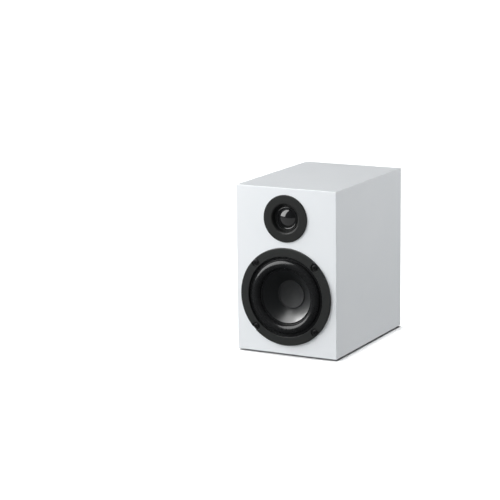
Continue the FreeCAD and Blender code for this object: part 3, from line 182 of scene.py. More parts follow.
def place_pattern(material, centre=(0, 0, 0), stretch=(1, 1, 1)):
    """Object coordinates moved so that a pattern is centred on a point, and stretched."""
    coordinates = add(material, "ShaderNodeTexCoord")
    mapping = add(material, "ShaderNodeMapping")
    mapping.vector_type = "TEXTURE"
    mapping.inputs["Location"].default_value = centre
    mapping.inputs["Scale"].default_value = stretch
    wire(material, coordinates.outputs["Object"], mapping.inputs["Vector"])
    return mapping.outputs["Vector"]


def noise(material, size_mm, detail=3.0, rough=0.5, **where):
    """A noise pattern whose features are about size_mm across."""
    texture = add(
        material,
        "ShaderNodeTexNoise",
        Scale=NOISE_FROM_MM / size_mm,
        Detail=detail,
        Roughness=rough,
    )
    wire(material, place_pattern(material, **where), texture.inputs["Vector"])
    return texture.outputs["Fac"]


def waves(material, pitch_mm, kind, direction, ripple=0.0, **where):
    """Rings about an axis, or bands across it, repeating every pitch_mm."""
    texture = add(
        material,
        "ShaderNodeTexWave",
        Scale=WAVES_FROM_MM / pitch_mm,
        Distortion=ripple,
        Detail=1.0,
    )
    texture.wave_type = kind
    if kind == "RINGS":
        texture.rings_direction = direction
    else:
        texture.bands_direction = direction
    wire(material, place_pattern(material, **where), texture.inputs["Vector"])
    return texture.outputs["Fac"]


def shader_of(material):
    return material.node_tree.nodes["Principled BSDF"]


def mottle(
    material, pattern, dark, light, low=NOISE_LOW, high=NOISE_HIGH, socket="Base Color"
):
    """A colour drifts between dark and light as the pattern goes from low to high."""
    ramp = add(material, "ShaderNodeValToRGB")
    stops = ramp.color_ramp.elements
    for stop, position, colour in zip(stops, (low, high), (dark, light)):
        stop.position, stop.color = position, (*colour, 1)
    wire(material, pattern, ramp.inputs["Fac"])
    wire(material, ramp.outputs["Color"], shader_of(material).inputs[socket])


def uneven_gloss(material, pattern, low, high):
    """The roughness drifts between two values."""
    span = add(
        material,
        "ShaderNodeMapRange",
        From_Min=NOISE_LOW,
        From_Max=NOISE_HIGH,
        To_Min=low,
        To_Max=high,
    )
    wire(material, pattern, span.inputs["Value"])
    wire(material, span.outputs["Result"], shader_of(material).inputs["Roughness"])


def relief(material, pattern, depth_mm, strength=1.0):
    """A pattern raised by depth_mm, on top of whatever relief the material already has."""
    bump = add(material, "ShaderNodeBump", Strength=strength, Distance=depth_mm * MM)
    normal = shader_of(material).inputs["Normal"]
    if normal.is_linked:
        wire(material, normal.links[0].from_socket, bump.inputs["Normal"])
    wire(material, pattern, bump.inputs["Height"])
    wire(material, bump.outputs["Normal"], normal)


def dress(material, *names):
    """Gives solids a finish in place of the plain one they came with."""
    for name in names:
        slots = nodes[name].data.materials
        slots.clear()
        slots.append(material)
    print(material.name, "on", ", ".join(names))


# %% [markdown]
# ## White satin lacquer
#
# The box is MDF, sanded and sprayed. Sprayed lacquer dries with a very shallow orange peel, about
# two millimetres across, which breaks up reflections without being seen as bumps. The white is a
# cool one. Roughness near 0.4 gives the soft sheen of a satin coat. Inside the box the same
# boards are bare, but nobody sees them, so one finish serves for the whole board.

# %% Lacquer
lacquer = new_finish("satin_lacquer", (0.80, 0.825, 0.845), 0.42, IOR=1.48)
mottle(
    lacquer, noise(lacquer, 60, 2), (0.795, 0.822, 0.842), (0.808, 0.832, 0.852), 0.35, 0.65
)
uneven_gloss(lacquer, noise(lacquer, 25, 3), 0.38, 0.47)
relief(lacquer, noise(lacquer, 2.2, 2), 0.012, 0.5)
dress(
    lacquer,
    "front_baffle",
    "top_board",
    "bottom_board",
    "left_board",
    "right_board",
    "rear_panel",
)

# %% [markdown]
# ## Black castings and mouldings
#
# The woofer's basket is cast and powder coated, the tweeter's face, the terminal cup and the port
# are moulded plastic. None of them is truly black: they are a very dark grey, slightly green.
# Powder coat has a fine pebble of a few tenths of a millimetre, and a mould is etched to a finer
# grain than that. Both scatter the light of the big lamps into a soft grey sheen, so roughness
# stays above 0.35.

# %% Powder coat and moulded plastic
powder_coat = new_finish("powder_coat", (0.021, 0.023, 0.0225), 0.42, IOR=1.5)
mottle(powder_coat, noise(powder_coat, 1.5, 4), (0.018, 0.0195, 0.019), (0.0205, 0.022, 0.0215))
uneven_gloss(powder_coat, noise(powder_coat, 1.2, 4), 0.40, 0.46)
relief(powder_coat, noise(powder_coat, 0.35, 2), 0.02, 0.35)
dress(powder_coat, "woofer_basket")

moulded = new_finish("moulded_black", (0.014, 0.015, 0.0145), 0.45, IOR=1.47)
mottle(moulded, noise(moulded, 1.2, 4), (0.0125, 0.0135, 0.013), (0.0145, 0.0155, 0.015))
uneven_gloss(moulded, noise(moulded, 1, 4), 0.43, 0.49)
relief(moulded, noise(moulded, 0.22, 2), 0.012, 0.35)
dress(
    moulded,
    "tweeter_face_ring",
    "tweeter_chassis",
    "tweeter_carrier_ring",
    "tweeter_rear_chamber",
    "terminal_cup",
    "port_mouth",
    "port_tube",
    "choke_bobbin",
    "crossover_spacers",
    "wire_clips",
)

# %% [markdown]
# ## Screws and plated steel
#
# The screws are blackened steel: metal under a thin dark oxide, so they are modelled as a dark
# metal and not as paint. The plates of the motors are turned on a lathe and zinc plated. A lathe
# leaves a spiral of fine rings about the axis, and rings in the relief give the well-known
# hourglass highlight by themselves.

# %% Steel
black_steel = new_finish("black_oxide", (0.045, 0.045, 0.047), 0.33, 0.85)
mottle(black_steel, noise(black_steel, 1.5, 3), (0.03, 0.03, 0.032), (0.06, 0.06, 0.062))
uneven_gloss(black_steel, noise(black_steel, 0.6, 3), 0.26, 0.42)
dress(black_steel, "woofer_screws", "tweeter_screws", "terminal_screws")


def turned_steel(name, centre):
    """Zinc-plated steel with lathe rings about a driver's axis."""
    steel = new_finish(name, (0.60, 0.60, 0.57), 0.30, 1.0)
    mottle(steel, noise(steel, 9, 3, centre=centre), (0.54, 0.54, 0.50), (0.66, 0.66, 0.64))
    uneven_gloss(steel, noise(steel, 3, 4, centre=centre), 0.24, 0.40)
    relief(steel, waves(steel, 0.35, "RINGS", "Y", 0.4, centre=centre), 0.006, 0.5)
    return steel


dress(turned_steel("turned_steel_woofer", WOOFER), "woofer_top_plate", "woofer_yoke")
dress(turned_steel("turned_steel_tweeter", TWEETER), "tweeter_top_plate", "tweeter_yoke")
zinc = new_finish("zinc_plate", (0.62, 0.62, 0.60), 0.34, 1.0)
mottle(zinc, noise(zinc, 1.2, 3), (0.55, 0.55, 0.52), (0.68, 0.68, 0.66))
dress(zinc, "crossover_screws")

# %% [markdown]
# ## The woofer's moving parts
#
# The cone is pressed from coated paper pulp. Fibres a millimetre or two long lie in it at random,
# and the coating over them is smooth enough to catch a broad soft highlight on the far side of
# the bowl. The dust cap is a matte moulding, greyer than the cone and without any highlight of
# its own.

# %% Cone and dust cap
cone_paper = new_finish(
    "coated_cone_paper", (0.012, 0.013, 0.0135), 0.32, IOR=1.5, Specular_IOR_Level=0.9
)
mottle(
    cone_paper,
    noise(cone_paper, 2.4, 6, 0.7, centre=WOOFER),
    (0.009, 0.010, 0.0105),
    (0.016, 0.017, 0.018),
)
uneven_gloss(cone_paper, noise(cone_paper, 0.8, 5, 0.6, centre=WOOFER), 0.31, 0.37)
relief(cone_paper, noise(cone_paper, 0.7, 5, 0.65, centre=WOOFER), 0.012, 0.35)
dress(cone_paper, "woofer_cone")

cap_finish = new_finish("matte_dust_cap", (0.025, 0.026, 0.027), 0.62, IOR=1.45)
mottle(cap_finish, noise(cap_finish, 5, 4), (0.022, 0.023, 0.024), (0.028, 0.029, 0.030))
relief(cap_finish, noise(cap_finish, 0.3, 3), 0.015, 0.5)
dress(cap_finish, "woofer_dust_cap")

# %% [markdown]
# ## The dome
#
# The dome is silk, stretched over a former and soaked with a damping coat until it is shiny. The
# coat is thick enough to level out, and only a trace of the weave is left. No other surface here
# is so much like a mirror, so it shows the room: a bright patch, a dark wedge beside it, and grey
# below.

# %% Dome
silk = new_finish("coated_silk", (0.010, 0.0105, 0.011), 0.10, IOR=1.62, Coat_Weight=0.4)
shader_of(silk).inputs["Coat Roughness"].default_value = 0.05
weave_across = waves(silk, 0.45, "BANDS", "X", centre=TWEETER)
weave_along = waves(silk, 0.45, "BANDS", "Z", centre=TWEETER)
relief(silk, weave_across, 0.0025, 0.35)
relief(silk, weave_along, 0.0025, 0.35)
uneven_gloss(silk, noise(silk, 4, 3), 0.08, 0.13)

# %% [markdown]
# ## Rubber
#
# Rubber is the hardest black to get right. It is dark, and its highlights are broad but clearly
# shaped. A trace of bloom lightens it in patches, and the mould leaves hardly any grain.

# %% Rubber
rubber = new_finish("butyl_rubber", (0.012, 0.0125, 0.013), 0.20, IOR=1.45)
mottle(rubber, noise(rubber, 4, 4), (0.0105, 0.011, 0.0115), (0.014, 0.0145, 0.015))
uneven_gloss(rubber, noise(rubber, 1.5, 4), 0.17, 0.22)
relief(rubber, noise(rubber, 0.5, 2), 0.006, 0.3)
dress(rubber, "rubber_feet")

# %% [markdown]
# ## Metals of the terminals
#
# The posts are turned from brass. Brass is a metal, so its colour is the colour of its reflection.
# Handling and air leave it slightly uneven, and the lathe leaves rings about each post's own axis.

# %% Brass
brass = new_finish("turned_brass", (0.72, 0.52, 0.25), 0.26, 1.0)
mottle(brass, noise(brass, 2.5, 4), (0.60, 0.42, 0.19), (0.78, 0.58, 0.30))
uneven_gloss(brass, noise(brass, 1.2, 4), 0.18, 0.36)
relief(brass, waves(brass, 0.4, "BANDS", "Y", 0.3), 0.008, 0.5)
dress(
    brass,
    "binding_posts",
    "positive_collar",
    "negative_collar",
    "positive_core",
    "negative_core",
    "post_nuts",
    "tweeter_lugs",
)

# %% [markdown]
# ## Coloured knobs
#
# One knob is red and one is black, so that nobody joins the wires the wrong way round. They are
# moulded in a clearer plastic than the cabinet parts, and are given a lower roughness.

# %% Knobs
red_plastic = new_finish("red_knob_plastic", (0.50, 0.018, 0.016), 0.30, IOR=1.49)
mottle(red_plastic, noise(red_plastic, 5, 3), (0.44, 0.014, 0.013), (0.55, 0.024, 0.020))
uneven_gloss(red_plastic, noise(red_plastic, 2, 4), 0.26, 0.36)
relief(red_plastic, noise(red_plastic, 0.4, 2), 0.006, 0.3)
dress(red_plastic, "positive_knob")

black_knob = new_finish("black_knob_plastic", (0.016, 0.016, 0.017), 0.30, IOR=1.49)
mottle(black_knob, noise(black_knob, 5, 3), (0.013, 0.013, 0.014), (0.021, 0.021, 0.022))
uneven_gloss(black_knob, noise(black_knob, 2, 4), 0.26, 0.36)
relief(black_knob, noise(black_knob, 0.4, 2), 0.006, 0.3)
dress(black_knob, "negative_knob")

# %% [markdown]
# ## Inside: board, wood and foam
#
# Little of the inside is seen through the port, but each thing still has its own stuff. Raw MDF
# is a felt of short wood fibres: tan, with darker flecks a third of a millimetre across. The
# gasket is an open-cell foam, all little pits.

# %% Board, gasket, former
raw_mdf = new_finish("raw_mdf", (0.40, 0.27, 0.16), 0.85)
mottle(raw_mdf, noise(raw_mdf, 0.5, 6, 0.75), (0.27, 0.17, 0.095), (0.50, 0.36, 0.23))
relief(raw_mdf, noise(raw_mdf, 0.35, 5, 0.7), 0.05, 0.6)
dress(raw_mdf, "window_brace")

foam = new_finish("gasket_foam", (0.030, 0.030, 0.031), 0.95)
mottle(foam, noise(foam, 0.6, 4), (0.015, 0.015, 0.016), (0.05, 0.05, 0.052))
relief(foam, noise(foam, 0.5, 4, 0.7), 0.12, 0.9)
dress(foam, "woofer_gasket")

former_film = new_finish("former_film", (0.34, 0.19, 0.065), 0.34, IOR=1.6)
mottle(former_film, noise(former_film, 6, 3), (0.28, 0.15, 0.05), (0.40, 0.23, 0.08))
relief(former_film, waves(former_film, 0.5, "BANDS", "Y"), 0.004, 0.4)
dress(former_film, "woofer_coil_former")

# %% [markdown]
# ## Copper windings
#
# A winding is hundreds of turns of enamelled wire laid side by side. Modelling each turn would
# cost a hundred thousand faces for something the size of a coin, so the turns are a wave in the
# relief with the pitch of the wire, along the axis that the coil is wound about. The same wave
# paints the copper darker in the grooves between turns and lighter on their crests: painted shade
# and painted highlight.

# %% Copper
def enamelled(name, pitch_mm, axis):
    """Enamelled copper wire wound about an axis: bands of relief with the wire's pitch, and
    painted shade in the grooves and a painted highlight on the crests of the same bands.
    """
    copper = new_finish(name, (0.62, 0.22, 0.09), 0.28, 0.9, Coat_Weight=0.5)
    turns = waves(copper, pitch_mm, "BANDS", axis, 0.15)
    # Painted shade and highlight: the copper colour follows the turns, dark in the grooves and
    # light on the crests.
    mottle(copper, turns, (0.36, 0.105, 0.04), (0.74, 0.29, 0.13), 0.1, 0.8)
    relief(copper, turns, pitch_mm * 0.35, 0.9)
    return copper


dress(enamelled("copper_fine", 0.28, "Y"), "woofer_coil_winding", "tweeter_voice_coil")
dress(enamelled("copper_heavy", 0.9, "Z"), "choke_winding", "tweeter_choke")

# %% [markdown]
# ## Magnets
#
# Ferrite is a grey-black ceramic, pressed and ground. It sparkles very slightly, because the
# ground face shows its grain.

# %% Ferrite
ferrite = new_finish("ferrite", (0.040, 0.040, 0.042), 0.55, 0.2)
mottle(ferrite, noise(ferrite, 0.9, 6, 0.7), (0.026, 0.026, 0.028), (0.062, 0.062, 0.064))
uneven_gloss(ferrite, noise(ferrite, 0.5, 4), 0.42, 0.68)
relief(ferrite, noise(ferrite, 0.6, 4), 0.03, 0.5)
dress(ferrite, "woofer_magnet", "tweeter_magnet")

# %% [markdown]
# ## The crossover's parts
#
# The filter sits on a green glass-fibre board. The weave of the glass shows faintly through its
# lacquer. The capacitors are wrapped in yellow film, the resistor is a rough white ceramic
# block, and the strip for the woofer's leads is brown paper laminate.

# %% Crossover finishes
board = new_finish("board_green", (0.018, 0.10, 0.045), 0.32, Coat_Weight=0.3)
mottle(board, noise(board, 3, 4), (0.014, 0.085, 0.037), (0.024, 0.125, 0.058))
relief(board, waves(board, 0.8, "BANDS", "X"), 0.006, 0.4)
relief(board, waves(board, 0.8, "BANDS", "Y"), 0.006, 0.4)
dress(board, "crossover_board")

yellow_film = new_finish("capacitor_film", (0.62, 0.40, 0.05), 0.36, IOR=1.5)
mottle(yellow_film, noise(yellow_film, 8, 3), (0.55, 0.35, 0.04), (0.68, 0.45, 0.07))
relief(yellow_film, noise(yellow_film, 2.5, 3), 0.03, 0.4)
dress(yellow_film, "crossover_capacitors")

ceramic = new_finish("resistor_ceramic", (0.66, 0.64, 0.58), 0.8)
mottle(ceramic, noise(ceramic, 0.7, 5, 0.7), (0.54, 0.52, 0.46), (0.74, 0.72, 0.66))
relief(ceramic, noise(ceramic, 0.5, 4, 0.7), 0.06, 0.6)
dress(ceramic, "crossover_resistor")

laminate = new_finish("paper_laminate", (0.16, 0.075, 0.03), 0.5)
paper_layers = noise(laminate, 1.5, 5, 0.6, stretch=(4, 1, 1))
mottle(laminate, paper_layers, (0.12, 0.055, 0.02), (0.21, 0.10, 0.045))
relief(laminate, noise(laminate, 0.8, 3), 0.015, 0.4)
dress(laminate, "woofer_terminal_strip")

# %% [markdown]
# ## Red and black wires
#
# Each pair of wires is one solid piece of the model, but its two wires have different jackets.
# A mesh can hold several materials and each face says which one it wears. The faces that hang
# together are found by letting the lowest corner number spread from face to face until nothing
# changes, and then one wire is given the black jacket.

# %% Wire jackets
def pvc(name, dark, light):
    jacket = new_finish(name, dark, 0.42, IOR=1.53)
    mottle(jacket, noise(jacket, 7, 3), dark, light)
    uneven_gloss(jacket, noise(jacket, 3, 3), 0.36, 0.50)
    relief(jacket, noise(jacket, 0.8, 3), 0.012, 0.35)
    return jacket


def loose_parts(mesh):
    """A number for each face, the same for all the faces that hang together."""
    spots = np.empty(len(mesh.vertices) * 3)
    mesh.vertices.foreach_get("co", spots)
    _, spot = np.unique(np.round(spots.reshape(-1, 3), 6), axis=0, return_inverse=True)
    spot = spot.ravel()
    faces = np.array([[spot[v] for v in face.vertices] for face in mesh.polygons])
    label = np.arange(spot.max() + 1)
    while True:
        after = label.copy()
        np.minimum.at(after, faces, after[faces].min(axis=1)[:, None])
        if (after == label).all():
            return label[faces[:, 0]]
        label = after


red_pvc = pvc("red_pvc", (0.40, 0.014, 0.012), (0.50, 0.022, 0.018))
black_pvc = pvc("black_pvc", (0.016, 0.016, 0.017), (0.026, 0.026, 0.027))
for name in ("input_wires", "woofer_wires", "tweeter_wires"):
    dress(red_pvc, name)
    mesh = nodes[name].data
    mesh.materials.append(black_pvc)
    part = loose_parts(mesh)
    rightmost = {
        p: max(mesh.polygons[i].center.x for i in np.flatnonzero(part == p))
        for p in np.unique(part)
    }
    red = max(rightmost, key=rightmost.get)
    mesh.polygons.foreach_set("material_index", (part != red).astype(np.int32))
    print(name, "has", len(rightmost), "wires")

# %% [markdown]
# ## Modelling round things by hand
#
# The surround, the spider and the dome bend when the driver plays, so they can't stay solids that
# ride on one part. They are modelled here as thin skins with an even grid of faces, because a
# bending skin needs its faces where the bend is.
#
# All three are round about a front-to-back axis. In Blender one starts such a piece from a
# primitive turned a quarter about X, so that its own axis lies along Y, and applies the turn at
# once. Faces are then picked by their distance from the axis.

# %% Helpers for modelling
FACING_FRONT = (math.radians(90), 0, 0)
WELD = 1e-6
ON_PLANE = 1e-5
SOFT_EDGE, SHARP_EDGE = math.radians(35), math.radians(40)


def start_piece(name, material):
    """The primitive just added becomes a named piece, with its place in its mesh."""
    piece = bpy.context.active_object
    piece.name = piece.data.name = name
    bpy.ops.object.transform_apply(location=True, rotation=True, scale=True)
    piece.data.materials.clear()
    piece.data.materials.append(material)
    return piece


def select_where(piece, kind, wanted):
    """In edit mode: selects the vertices, or whole edges or faces, whose places are wanted."""
    bpy.ops.object.mode_set(mode="EDIT")
    bpy.ops.mesh.select_mode(type="VERT")
    bpy.ops.mesh.select_all(action="DESELECT")
    bpy.ops.object.mode_set(mode="OBJECT")
    for vertex in piece.data.vertices:
        vertex.select = bool(wanted(vertex.co))
    bpy.ops.object.mode_set(mode="EDIT")
    bpy.ops.mesh.select_mode(type=kind)


def face_front(piece):
    """In edit mode: makes a skin's normals agree, and turns them to the front."""
    bpy.ops.mesh.select_all(action="SELECT")
    bpy.ops.mesh.normals_make_consistent(inside=False)
    bpy.ops.object.mode_set(mode="OBJECT")
    if sum(face.normal.y * face.area for face in piece.data.polygons) > 0:
        bpy.ops.object.mode_set(mode="EDIT")
        bpy.ops.mesh.flip_normals()
        bpy.ops.object.mode_set(mode="OBJECT")


def away_from(axis):
    """A function that gives a point's distance from a front-to-back axis."""
    return lambda co: math.hypot(co.x - axis.x, co.z - axis.z)


def thicken(piece, wall, rounding=0.0):
    """Gives a skin its wall behind it, rounds the wall's edges, and applies both."""
    solid = piece.modifiers.new("wall", "SOLIDIFY")
    solid.thickness, solid.offset = wall, -1
    bpy.ops.object.modifier_apply(modifier=solid.name)
    if rounding:
        bevel = piece.modifiers.new("rounding", "BEVEL")
        bevel.width, bevel.segments = rounding, 3
        bevel.limit_method, bevel.angle_limit = "ANGLE", SHARP_EDGE
        bpy.ops.object.modifier_apply(modifier=bevel.name)
    bpy.ops.object.shade_smooth_by_angle(angle=SOFT_EDGE)
    print(piece.name, len(piece.data.vertices), "vertices")


# %% [markdown]
# ## A weight by distance from an axis
#
# A bending skin is glued to the moving cone on the inside and to the still frame on the outside.
# On a ring, how far a point should follow the cone depends on its distance from the axis. The
# function below bakes a piece's place into its mesh and works out that weight for each point. The
# weight rises in a straight line from nothing at the outer distance to all at the inner one. It is
# kept nowhere, so the piece doesn't follow the cone.

# %% Radial weight
def blend_round(piece, axis, inner, outer, distance=None):
    """Bakes a piece's place into its mesh and works out, for each point, a weight between two
    distances from an axis; the weight is not kept.
    """
    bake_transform(piece)
    radius = distance or away_from(axis)
    for vertex in piece.data.vertices:
        t = min(max((outer - radius(vertex.co)) / (outer - inner), 0), 1)
    print(piece.name, "blends over", round((outer - inner) / MM, 1), "mm")


# %% [markdown]
# ## The half roll
#
# A surround is half of a ring doughnut with two flat lips. So it is made like that: a torus is
# added round the driver's axis, its rear half is cut away with bisect, and the two open edges are
# extruded into lips, the outer one outwards and the inner one inwards. Solidify gives the skin its
# rubber wall, and a small bevel rounds the lips' edges, where the real piece shows a thin bright
# line.

# %% Half roll
AROUND, ACROSS = 144, 36


def half_roll(name, material, centre, crest, roll, lip_in, lip_out, wall, rounding):
    """A half torus open to the rear, with lips that reach lip_in and lip_out."""
    bpy.ops.object.select_all(action="DESELECT")
    bpy.ops.mesh.primitive_torus_add(
        major_radius=crest,
        minor_radius=roll,
        major_segments=AROUND,
        minor_segments=ACROSS,
        location=centre,
        rotation=FACING_FRONT,
    )
    piece = start_piece(name, material)
    bpy.ops.object.mode_set(mode="EDIT")
    bpy.ops.mesh.select_all(action="SELECT")
    bpy.ops.mesh.bisect(plane_co=centre, plane_no=(0, 1, 0), clear_outer=True, threshold=WELD)
    radius = away_from(centre)
    for edge, reach in ((crest + roll, lip_out), (crest - roll, lip_in)):
        outer = reach > crest
        select_where(
            piece,
            "EDGE",
            lambda co: abs(co.y - centre.y) < ON_PLANE and (radius(co) > crest) == outer,
        )
        halfway = (edge + reach) / 2
        for before, after in ((edge, halfway), (halfway, reach)):
            bpy.ops.mesh.extrude_region_move()
            grow = after / before
            bpy.ops.transform.resize(value=(grow, 1, grow), center_override=centre)
    face_front(piece)
    thicken(piece, wall, rounding)
    return piece


ROLL_CREST, ROLL_RADIUS = 45 * MM, 6.4 * MM
woofer_roll = half_roll(
    "woofer_roll",
    rubber,
    centre=WOOFER,
    crest=ROLL_CREST,
    roll=ROLL_RADIUS,
    lip_in=36.4 * MM,
    lip_out=55 * MM,
    wall=0.8 * MM,
    rounding=0.25 * MM,
)
blend_round(
    woofer_roll, WOOFER, ROLL_CREST - ROLL_RADIUS, ROLL_CREST + ROLL_RADIUS
)
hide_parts("woofer_surround")

# %% [markdown]
# The tweeter's roll is the same shape at a fifth of the size. It is pressed from the same silk as
# the dome, and lies a little behind the face of the board.

# %% The tweeter's roll
DOME_EDGE = TWEETER + Vector((0, 4.7 * MM, 0))
DOME_RADIUS, CARRIER_RADIUS = 13.1 * MM, 16 * MM
small_roll = (CARRIER_RADIUS - DOME_RADIUS) / 2
tweeter_roll = half_roll(
    "tweeter_roll",
    silk,
    centre=DOME_EDGE,
    crest=DOME_RADIUS + small_roll,
    roll=small_roll,
    lip_in=DOME_RADIUS - 0.25 * MM,
    lip_out=CARRIER_RADIUS + 0.6 * MM,
    wall=0.3 * MM,
    rounding=0.08 * MM,
)
blend_round(tweeter_roll, TWEETER, DOME_RADIUS, CARRIER_RADIUS)
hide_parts("tweeter_surround")

# %% [markdown]
# ## The dome
#
# The dome is part of a ball, and it is the shiniest thing here, so any unevenness in its faces
# would show. A UV sphere crowds its faces together at the pole, just where the eye looks. A cube
# that is subdivided and pushed out with "to sphere" has an even grid of squares everywhere. One
# cut leaves the cap, and its open edge is extruded back into the short skirt that is glued round
# the coil. "To sphere" gives every corner the average distance of them all, so the ball is then
# scaled to its real radius.

# %% Dome
BALL, SKIRT, DOME_WALL = 19.6 * MM, 0.9 * MM, 0.3 * MM
CUTS = 63
ball_centre = DOME_EDGE + Vector((0, math.sqrt(BALL**2 - DOME_RADIUS**2), 0))
bpy.ops.object.select_all(action="DESELECT")
bpy.ops.mesh.primitive_cube_add(size=2 * BALL, location=ball_centre)
dome = start_piece("dome", silk)
bpy.ops.object.mode_set(mode="EDIT")
bpy.ops.mesh.select_all(action="SELECT")
bpy.ops.mesh.subdivide(number_cuts=CUTS)
bpy.ops.transform.tosphere(value=1, center_override=ball_centre)
bpy.ops.object.mode_set(mode="OBJECT")
shrink = BALL / (dome.data.vertices[0].co - ball_centre).length
bpy.ops.object.mode_set(mode="EDIT")
bpy.ops.transform.resize(value=(shrink, shrink, shrink), center_override=ball_centre)
bpy.ops.mesh.bisect(plane_co=DOME_EDGE, plane_no=(0, 1, 0), clear_outer=True, threshold=1e-7)
bpy.ops.object.mode_set(mode="OBJECT")
radii = [(v.co - ball_centre).length for v in dome.data.vertices]
print("ball radius", round(min(radii) / MM, 3), "to", round(max(radii) / MM, 3), "mm")
select_where(dome, "EDGE", lambda co: abs(co.y - DOME_EDGE.y) < ON_PLANE)
bpy.ops.mesh.extrude_region_move(TRANSFORM_OT_translate={"value": (0, SKIRT, 0)})
bpy.ops.mesh.select_all(action="SELECT")
bpy.ops.mesh.normals_make_consistent(inside=False)
bpy.ops.object.mode_set(mode="OBJECT")
thicken(dome, DOME_WALL)
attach(dome, "tweeter_diaphragm")
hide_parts("tweeter_dome")

# %% [markdown]
# ## The spider
#
# Behind the cone a corrugated ring of treated cotton centres the coil and pulls it back. Its
# corrugations are concentric, so it is grown outwards ring by ring: a circle the size of the coil
# former, then an extrusion for each small step of radius, which is scaled out and moved along the
# axis by the height of the wave there.

# %% Spider
spider_cloth = new_finish("spider_cloth", (0.52, 0.40, 0.20), 0.85, Sheen_Weight=0.25)
mottle(spider_cloth, noise(spider_cloth, 4, 4), (0.44, 0.33, 0.15), (0.58, 0.46, 0.25))
relief(spider_cloth, waves(spider_cloth, 0.6, "BANDS", "X"), 0.05, 0.6)
relief(spider_cloth, waves(spider_cloth, 0.6, "BANDS", "Z"), 0.05, 0.6)

FORMER_RADIUS, SHELF_RADIUS, SPIDER_RIM = 12.9 * MM, 35.5 * MM, 39.7 * MM
SPIDER_LEVEL, SPIDER_COLLAR, SPIDER_WALL = 27 * MM, 1.8 * MM, 0.5 * MM
WAVE_HEIGHT, WAVES, RINGS_PER_WAVE = 1.3 * MM, 3, 8
FIRST_WAVE = FORMER_RADIUS + 2 * WAVE_HEIGHT
RING_CORNERS = 128
spider_centre = WOOFER + Vector((0, SPIDER_LEVEL, 0))


def spider_height(radius):
    """How far the cloth stands in front of its shelf at a radius."""
    if not FIRST_WAVE < radius < SHELF_RADIUS:
        return 0
    along = (radius - FIRST_WAVE) / (SHELF_RADIUS - FIRST_WAVE)
    return WAVE_HEIGHT * (1 - math.cos(2 * math.pi * WAVES * along)) / 2


def grow_rings(name, material, centre, rings, closed=False):
    """A skin grown from ring to ring. Each ring is (radius, how far in front of the centre)."""
    bpy.ops.object.select_all(action="DESELECT")
    first_radius, first_out = rings[0]
    bpy.ops.mesh.primitive_circle_add(
        vertices=RING_CORNERS,
        radius=first_radius,
        location=centre - Vector((0, first_out, 0)),
        rotation=FACING_FRONT,
    )
    piece = start_piece(name, material)
    bpy.ops.object.mode_set(mode="EDIT")
    bpy.ops.mesh.select_all(action="SELECT")
    for (before, out_before), (radius, out) in zip(rings, rings[1:]):
        bpy.ops.mesh.extrude_region_move(
            TRANSFORM_OT_translate={"value": (0, out_before - out, 0)}
        )
        grow = radius / before
        bpy.ops.transform.resize(value=(grow, 1, grow), center_override=centre)
    if closed:
        bpy.ops.mesh.merge(type="CENTER")
    face_front(piece)
    return piece


waves_at = np.linspace(FIRST_WAVE, SHELF_RADIUS, RINGS_PER_WAVE * WAVES + 1)
rings = [(FORMER_RADIUS, SPIDER_COLLAR), (FORMER_RADIUS + 0.01 * MM, 0)]
rings += [(r, spider_height(r)) for r in (*waves_at, SPIDER_RIM)]
spider = grow_rings("spider", spider_cloth, spider_centre, rings)
thicken(spider, SPIDER_WALL)
blend_round(spider, WOOFER, FIRST_WAVE, SHELF_RADIUS)
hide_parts("woofer_spider")

# %% [markdown]
# ## The dust cap
#
# The cap over the coil is a shallow dish inside a raised bead, and the bead is glued to the cone.
# It is grown with the same rings, from the bead's foot over its crest and down into the dish, and
# closed at the middle. The dish is part of a large ball, so each ring's depth comes from the
# ball's radius.

# %% Dust cap
CAP_RADIUS, CAP_LEVEL, CAP_BEAD = 19.6 * MM, 16.2 * MM, 1.3 * MM
CAP_WALL, CAP_BALL, CAP_HOLE = 0.6 * MM, 46 * MM, 0.4 * MM
BEAD_STEPS, DISH_RINGS = 12, 24
cap_centre = WOOFER + Vector((0, CAP_LEVEL, 0))
dish = CAP_RADIUS - CAP_BEAD
bead = CAP_BEAD / 2
rings = [(CAP_RADIUS, 0)]
for step in range(1, BEAD_STEPS):
    angle = math.pi * step / BEAD_STEPS
    rings.append((CAP_RADIUS - bead + bead * math.cos(angle), CAP_WALL + bead * math.sin(angle)))
dish_edge = math.sqrt(CAP_BALL**2 - dish**2)
for radius in np.linspace(dish, CAP_HOLE, DISH_RINGS):
    rings.append((float(radius), CAP_WALL + dish_edge - math.sqrt(CAP_BALL**2 - radius**2)))
cap = grow_rings("dust_cap", cap_finish, cap_centre, rings, closed=True)
thicken(cap, CAP_WALL * 0.8)
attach(cap, "woofer_diaphragm")
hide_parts("woofer_dust_cap")

# %% [markdown]
# ## The braided leads
#
# Two limp braided leads carry the current from the frame to the moving cone. Each one's own shape
# is already right, so the solid is copied and its loose triangles are merged into one skin. A
# weight is then worked out for each point from its depth below the woofer's axis, but it is not
# kept, so the copy doesn't move with the cone.

# %% Leads
tinsel = new_finish("tinsel_braid", (0.66, 0.30, 0.15), 0.34, 0.9)
mottle(tinsel, noise(tinsel, 0.5, 4), (0.46, 0.18, 0.08), (0.76, 0.38, 0.21))
relief(tinsel, waves(tinsel, 0.7, "BANDS", "DIAGONAL"), 0.10, 0.8)

